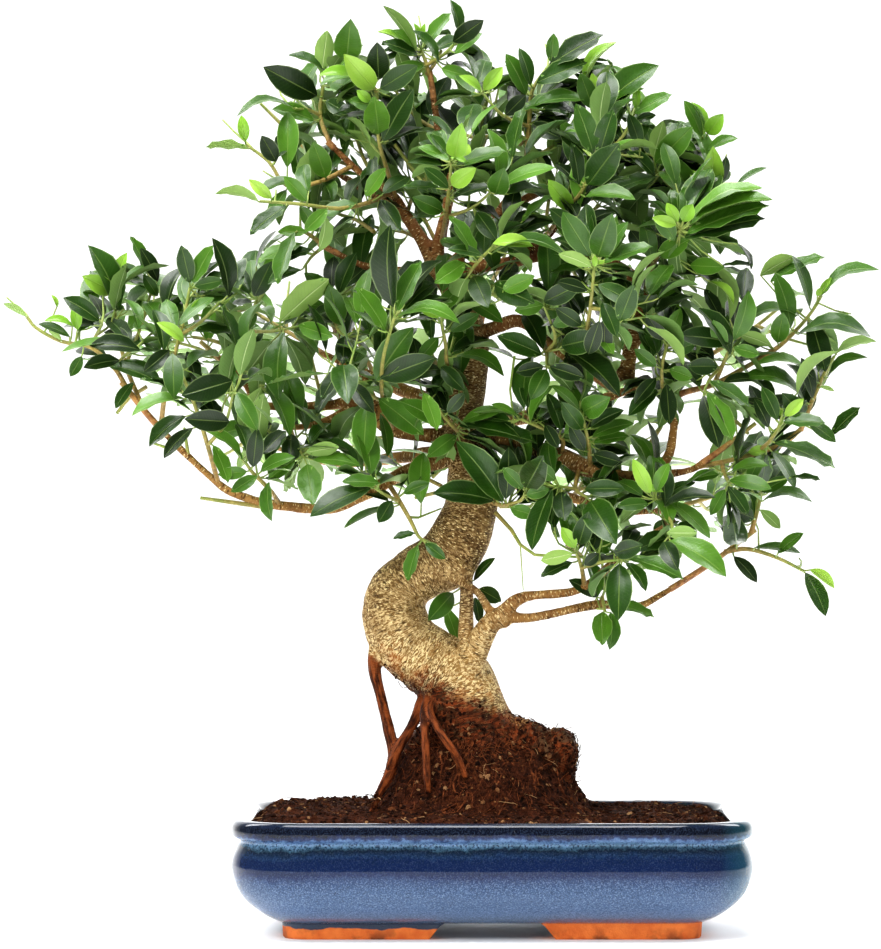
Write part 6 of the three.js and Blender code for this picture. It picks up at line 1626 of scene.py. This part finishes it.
def nearest_on_twigs(stems, x, z, order):
    """How far the nearest twig is from where a leaf starts, and the spot on it."""
    best = (math.inf, None)
    for rows in stems:
        for (ax, az, ay), (bx, bz, by) in zip(rows, rows[1:]):
            length = (bx - ax) ** 2 + (bz - az) ** 2
            along = ((x - ax) * (bx - ax) + (z - az) * (bz - az)) / length
            share = min(max(along, 0.1), 1 - 0.012 * order)
            row = (ax + (bx - ax) * share, az + (bz - az) * share, ay + (by - ay) * share)
            distance = math.hypot(x - row[0], z - row[1])
            if distance < best[0] - 0.5:
                best = (distance, row)
    return best


def leaf_towards_eye(base, tip, open_share, shows_underside):
    """Which way a blade faces when it shows this share of its width to the eye."""
    along = (tip - base).normalized()
    sight = (EYE - base).normalized()
    to_eye = (sight - along * along.dot(sight)).normalized()
    upward = to_eye.cross(along)
    if upward.dot(Vector(((base.x - CROWN_MIDDLE[0]) * 0.1, 0, 60))) < 0:
        upward.negate()
    lean = math.sqrt(1 - open_share ** 2)
    return (to_eye * (-open_share if shows_underside else open_share) + upward * lean).normalized()


Leaf = namedtuple("Leaf", "root base tip face width form age tone")


def traced_leaf(stems, row, order, chance):
    base_x, base_z, tip_x, tip_z, seen_width = [float(part) for part in row[:5]]
    kind = row[5]
    lean = 1 if "b" in kind else -1
    seen = math.hypot(tip_x - base_x, tip_z - base_z)
    length = max(LEAST_LEAN * seen, min(seen_width / LEAF_ASPECT, LONGEST_LEAF))
    small = min(1.0, seen / 24)
    length = max(LEAST_LEAN * seen, length * small)
    aspect = YOUNG_ASPECT if kind[0] == "L" else LEAF_ASPECT
    width = max(seen_width, aspect * min(length, LONGEST_LEAF))
    distance, spot = nearest_on_twigs(stems, base_x, base_z, order)
    base_y = spot[2] + lean * math.sqrt(max(STALK ** 2 - distance ** 2, 0))
    base = seen_at(base_x, base_z, base_y)
    tip = seen_at(tip_x, tip_z, base_y + lean * math.sqrt(length ** 2 - seen ** 2))
    face = leaf_towards_eye(base, tip, min(seen_width / width, 1), kind[0] == "P")
    form = ARCHED_FORM if "a" in kind else (YOUNG_FORM if kind[0] == "L" else chance.randint(0, 2))
    age = AGE[kind[0]] + chance.uniform(-0.05, 0.05)
    return Leaf(seen_at(*spot), base, tip, face, width, form, age, chance.random())


def traced_leaves(stems, blades, chance):
    rows = [row.split() for row in blades.split(",") if row]
    return [traced_leaf(stems, row, order % 8, chance) for order, row in enumerate(rows)]


def leaf_behind(leaf, chance):
    """A second leaf from the same stretch of twig, turned aside and leaning back behind the first, with its
    colour painted darker as shade.
    """
    heading = (leaf.tip - leaf.base).normalized()
    length = (leaf.tip - leaf.base).length * chance.uniform(0.8, 1.05)
    length = min(max(length, 28), 48)
    turn = Matrix.Rotation(math.radians(chance.choice((-1, 1)) * chance.uniform(16, 42)), 3, "Y")
    heading = turn @ heading
    heading.y = abs(heading.y) * 0.4 + chance.uniform(0.45, 1.0)
    heading.normalize()
    root = leaf.root + Vector((chance.uniform(-4, 4), chance.uniform(0, 3), chance.uniform(-4, 4)))
    base = root + heading * STALK * chance.uniform(0.9, 1.5)
    tip = base + heading * length
    light = Vector((chance.uniform(-0.5, 0.5), chance.uniform(-0.8, 0.1), 0.8))
    face = (light - heading * heading.dot(light)).normalized()
    # The lowered age and tone are painted shade for the leaves deeper in the crown
    age = min(leaf.age, 0.5) * 0.7 + chance.uniform(-0.05, 0.1)
    return Leaf(leaf.root, base, tip, face, length * LEAF_ASPECT, chance.randint(0, 2), max(age * 0.8, 0),
        chance.random() * 0.6)


def ruled_leaf(root, along, turn, spread, chance, shortest, longest):
    """A leaf of the spiral that winds up a twig: half open and turned to the light."""
    flat = Vector((0, 0, 1)).cross(along).normalized()
    over = along.cross(flat)
    out = flat * math.cos(turn) + over * math.sin(turn)
    heading = along * math.cos(spread) + out * math.sin(spread)
    heading.z += 0.12 * (0.5 + chance.random())
    heading.normalize()
    length = chance.uniform(shortest, longest)
    base = root + heading * STALK * (1 + 0.3 * chance.random())
    light = Vector((heading.x, heading.y, 0)) * 0.4
    light.z = 1
    light += out * 0.35 * (chance.random() - 0.5)
    face = (light - heading * heading.dot(light)).normalized()
    return Leaf(root, base, base + heading * length, face, length * LEAF_ASPECT * chance.uniform(0.9, 1.1),
        chance.randint(0, 3), chance.choice(RULED_AGES), chance.random())


def spiral_leaves(path, spacing, bare, chance, shortest, longest):
    leaves = []
    turn = chance.uniform(0, 2 * math.pi)
    travelled = bare
    for k in range(len(path) - 1):
        stretch = path[k + 1] - path[k]
        way = stretch.normalized()
        while travelled < stretch.length:
            near_tip = k == len(path) - 2 and travelled > stretch.length - spacing
            leaves.append(ruled_leaf(path[k] + way * travelled, way, turn, 0.5 if near_tip else 1.05,
                chance, shortest, longest))
            turn += GOLDEN_TURN
            travelled += spacing
        travelled -= stretch.length
    end_way = (path[-1] - path[-2]).normalized()
    leaves.append(ruled_leaf(path[-1], end_way, turn, 0.25, chance, shortest, longest))
    return leaves


def as_seen(point):
    """Where a point shows on the trunk's plane, seen from the eye."""
    spread = 1 - point.y / EYE.y
    return EYE.x + (point.x - EYE.x) / spread, EYE.z + (point.z - EYE.z) / spread


def in_crown(leaf):
    """Whether an added leaf stays inside the crown's edge and out of its gaps."""
    for share in (0.3, 0.65, 0.95):
        x, z = as_seen(leaf.base.lerp(leaf.tip, share))
        if any(math.hypot(x - gap_x, z - gap_z) < radius for gap_x, gap_z, radius in CROWN_GAPS):
            return False
        inside = False
        for (ax, az), (bx, bz) in zip(CROWN_EDGE, CROWN_EDGE[1:] + CROWN_EDGE[:1]):
            if (az > z) != (bz > z) and x < ax + (bx - ax) * (z - az) / (bz - az):
                inside = not inside
        if not inside:
            return False
    return True


def shoot_behind(rows, share, chance):
    """A short side twig that runs back from a front twig, with its own spiral of leaves."""
    spot = share * (len(rows) - 1)
    k = min(int(spot), len(rows) - 2)
    start = seen_at(*rows[k]).lerp(seen_at(*rows[k + 1]), spot - k)
    way = (seen_at(*rows[k + 1]) - seen_at(*rows[k])).normalized()
    heading = (way * 0.5 + Vector((chance.uniform(-0.4, 0.4), 1.0, chance.uniform(-0.1, 0.5)))).normalized()
    path = [start]
    for _ in range(3):
        path.append(path[-1] + heading * chance.uniform(9, 14))
        heading = (heading + Vector((chance.uniform(-0.3, 0.3), 0, chance.uniform(-0.1, 0.3)))).normalized()
    return path


def spray_start(name, twig_lines, leaves):
    """The points, edges and values from which the rule grows one spray."""
    points, edges, rows = [], [], []

    def add(point, radius, size=(0, 0, 0), turn=(0, 0, 0), form=0, age=0.0, tone=0.0):
        points.append(in_frame(*point))
        rows.append((radius * MM, size, turn, form, age, tone))
        return len(points) - 1

    for line in twig_lines:
        spots = [add(row[:3], row[3]) for row in line]
        edges.extend(zip(spots, spots[1:]))
    for leaf in leaves:
        chord = leaf.tip - leaf.base
        along = chord.normalized()
        over = leaf.face
        side = along.cross(over).normalized()
        turn = Matrix((side, along, over)).transposed().to_euler()
        length = chord.length * MM
        bend = leaf.base - leaf.root
        first = add(leaf.root, STALK_RADIUS)
        second = add(leaf.root + bend * 0.5 + Vector((0, 0, -0.06 * bend.length)), STALK_RADIUS)
        third = add(leaf.base + along * 0.6, STALK_RADIUS * 0.8)
        edges.extend([(first, second), (second, third)])
        add(leaf.base, 0, (leaf.width * MM, length, length), turn, leaf.form, leaf.age, leaf.tone)
    mesh = plain_mesh(name, points, edges, [])
    thick, sizes, turns, forms, ages, tones = zip(*rows)
    mark(mesh, "thick", thick)
    mark(mesh, "blade_size", [part for size in sizes for part in size], "FLOAT_VECTOR")
    mark(mesh, "blade_turn", [part for turn in turns for part in turn], "FLOAT_VECTOR")
    mark(mesh, "blade_form", forms, "INT")
    mark(mesh, "age", ages)
    mark(mesh, "tone", tones)
    return mesh


VEINS = veins_group()
LEAF_FINISH = leaf_finish()
SPRAY_RULE = spray_rule()
blade_box = form_box("blades", [blade_form(k, *form) for k, form in enumerate(BLADE_FORMS)])
for number, (name, twigs, blades, *inner) in enumerate(SPRAYS):
    chance = random.Random(1717 + number)
    stems = table(twigs)
    twig_lines = []
    for which, rows in enumerate(stems):
        share = 1 if which == 0 else FORK_SHARE
        last = len(rows) - 1
        radii = [(TWIG_START + (TWIG_END - TWIG_START) * k / last) * share for k in range(last + 1)]
        twig_lines.append(flowing([(*seen_at(*row), radius) for row, radius in zip(rows, radii)], 4))
    leaves = traced_leaves(stems, blades, chance)
    added = [leaf_behind(leaf, chance) for leaf in leaves + leaves]
    for rows in stems:
        if not blades:
            added += spiral_leaves([seen_at(*row) for row in rows], SPACING, 12, chance, 36, 50)
            continue
        for share in (0.45, 0.9):
            path = shoot_behind(rows, share, chance)
            twig_lines.append(np.array([(*point, 1.0 - 0.15 * k) for k, point in enumerate(path)]))
            added += spiral_leaves(path, SPACING, 8, chance, 26, 42)
    for rows in (table(inner[0]) if inner else []):
        path = [seen_at(*row) for row in rows]
        twig_lines.append(flowing([(*point, 1.6 - 0.2 * k) for k, point in enumerate(path)], 3))
        added += spiral_leaves(path, INNER_SPACING, 14, chance, 30, 46)
    if name == "trunk_low":
        twig_lines.append(flowing([(*seen_at(*row), 1.2) for row in CROOK_STEM], 3))
        leaves += traced_leaves([CROOK_STEM], CROOK_LEAVES, chance)
    added += [leaf_behind(leaf, chance) for leaf in leaves]
    leaves += [leaf for leaf in added if in_crown(leaf)]
    piece = grown("leafy_spray_" + name, spray_start("spray", twig_lines, leaves), SPRAY_RULE,
        blades=blade_box, blade_size=1.0, stem_girth=1.0, stem_sides=5, leaf_finish=LEAF_FINISH,
        stem_finish=TWIG_BARK)
    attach(piece, "root")
    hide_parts("spray_" + name)
empty_box(blade_box)


# Studio
# A pale paper sweep under and behind the plant that throws light back on it, white all round beyond it, a
# wide soft light overhead, one from the front left and a weaker one from the right. The camera stands level
# in front, as in the photograph. The sweep is hidden from the camera, so that it blocks no other view.
SWEEP_BEND = 0.9
SWEEP_STEPS = 12
SWEEP_BACK = 2.2
SWEEP_HALF = 5
SWEEP_FRONT = -4.5
SWEEP_TOP = 4.5
FLOOR_RADIUS = 2.0
FLOOR_LIFT = 0.0001
FLOOR_STEPS = 96
FADE_START = 0.45
FADE_END = 0.98
SURROUND_RADIUS = 14.0
PHOTO_HEIGHT = 949
SENSOR = 36.0
FOCAL_PIXELS = 4968
CAMERA_REACH = 50


def hidden_from(piece, *rays):
    for ray in rays:
        setattr(piece, f"visible_{ray}", False)
    return piece


def pale_paper(name):
    finish, place, surface = new_finish(name, roughness=0.9)
    feed(surface, "Base Color", mixed(mottling(place, 4.0), "#f4f4f4", "#f8f8f8"))
    return finish, place, surface


def sweep():
    bends = [k * math.pi / 2 / SWEEP_STEPS for k in range(SWEEP_STEPS + 1)]
    side_line = [(SWEEP_FRONT, 0.0)]
    side_line += [(SWEEP_BACK + SWEEP_BEND * math.sin(turn), SWEEP_BEND - SWEEP_BEND * math.cos(turn))
        for turn in bends]
    side_line.append((SWEEP_BACK + SWEEP_BEND, SWEEP_TOP))
    points = [(side, y, z) for side in (-SWEEP_HALF, SWEEP_HALF) for y, z in side_line]
    count = len(side_line)
    faces = [(k, count + k, count + k + 1, k + 1) for k in range(count - 1)]
    return hidden_from(mesh_piece("paper_sweep", points, faces, [pale_paper("white paper")[0]]), "camera")


def floor_disc():
    """The floor that shows: it takes the plant's shadow and fades out into the white around it."""
    finish, place, surface = pale_paper("pale floor")
    away = node(tree_of(place), "ShaderNodeVectorMath", {0: place}, operation="LENGTH").outputs["Value"]
    feed(surface, "Alpha", spread_over(away, FLOOR_RADIUS * FADE_END, FLOOR_RADIUS * FADE_START))
    points = [(FLOOR_RADIUS * math.cos(turn), FLOOR_RADIUS * math.sin(turn), FLOOR_LIFT)
        for turn in turns_round(FLOOR_STEPS)]
    disc = mesh_piece("floor", points, [tuple(range(FLOOR_STEPS))], [finish])
    return hidden_from(disc, "diffuse", "glossy", "shadow")


def white_surround():
    """Plain white all round, which only the camera sees."""
    finish = new_finish("white surround", roughness=1.0, base_color=(0, 0, 0, 1), specular_ior_level=0.0,
        emission_color=(1, 1, 1, 1), emission_strength=1.1)[0]
    shell = bmesh.new()
    bmesh.ops.create_icosphere(shell, subdivisions=4, radius=SURROUND_RADIUS)
    bmesh.ops.reverse_faces(shell, faces=shell.faces)
    mesh = mesh_of("white_surround", shell)
    mesh.materials.append(finish)
    dome = bpy.data.objects.new("white_surround", mesh)
    bpy.context.scene.collection.objects.link(dome)
    return hidden_from(dome, "diffuse", "glossy", "transmission", "shadow")


def soft_light(name, place, target, width, height, power, colour=(1.0, 1.0, 1.0), hidden="camera"):
    lamp = bpy.data.lights.new(name, "AREA")
    lamp.shape = "RECTANGLE"
    lamp.size, lamp.size_y = width, height
    lamp.energy = power
    lamp.color = colour
    stand = bpy.data.objects.new(name, lamp)
    stand.location = place
    stand.rotation_euler = (Vector(target) - Vector(place)).to_track_quat("-Z", "Y").to_euler()
    bpy.context.scene.collection.objects.link(hidden_from(stand, *hidden.split()))


for backdrop in (sweep(), floor_disc(), white_surround()):
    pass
soft_light("overhead", (-0.2, -0.5, 1.9), (0, 0, 0.35), 1.3, 1.0, 46)
soft_light("front left", (-1.3, -1.9, 1.5), (0, 0, 0.3), 1.2, 1.2, 50, (1.0, 0.99, 0.96), "camera glossy")
soft_light("front right", (1.9, -1.4, 0.8), (0, 0, 0.3), 0.7, 1.0, 9, (0.98, 0.99, 1.0), "camera glossy")
soft_light("low front", (0.03, -1.5, 0.12), (0.03, 0, 0.02), 0.8, 0.2, 5, hidden="camera glossy")
soft_light("under the pot", (0.03, 0.35, 0.03), (0.03, 0, 0.0), 0.5, 0.05, 5, hidden="camera glossy")
soft_light("behind left", (-1.8, 1.0, 2.0), (-0.3, 3.0, 0.6), 1.6, 1.6, 90)
soft_light("behind right", (1.8, 1.0, 2.0), (0.3, 3.0, 0.6), 1.6, 1.6, 90)
sky = bpy.data.worlds.new("pale surround")
sky.use_nodes = True
background = sky.node_tree.nodes["Background"].inputs
background["Color"].default_value = (1.0, 1.0, 1.0, 1.0)
background["Strength"].default_value = 0.2
bpy.context.scene.world = sky
bpy.context.scene.view_settings.view_transform = "Standard"
bpy.context.scene.view_settings.look = "Medium High Contrast"

view = bpy.data.cameras.new("photograph view")
view.sensor_fit = "AUTO"
view.sensor_width = SENSOR
view.lens = SENSOR * FOCAL_PIXELS / PHOTO_HEIGHT
view.clip_end = CAMERA_REACH
camera = bpy.data.objects.new("photograph view", view)
camera.location = in_frame(*EYE)
camera.rotation_euler = (math.pi / 2, 0, 0)
bpy.context.scene.collection.objects.link(camera)
bpy.context.scene.camera = camera
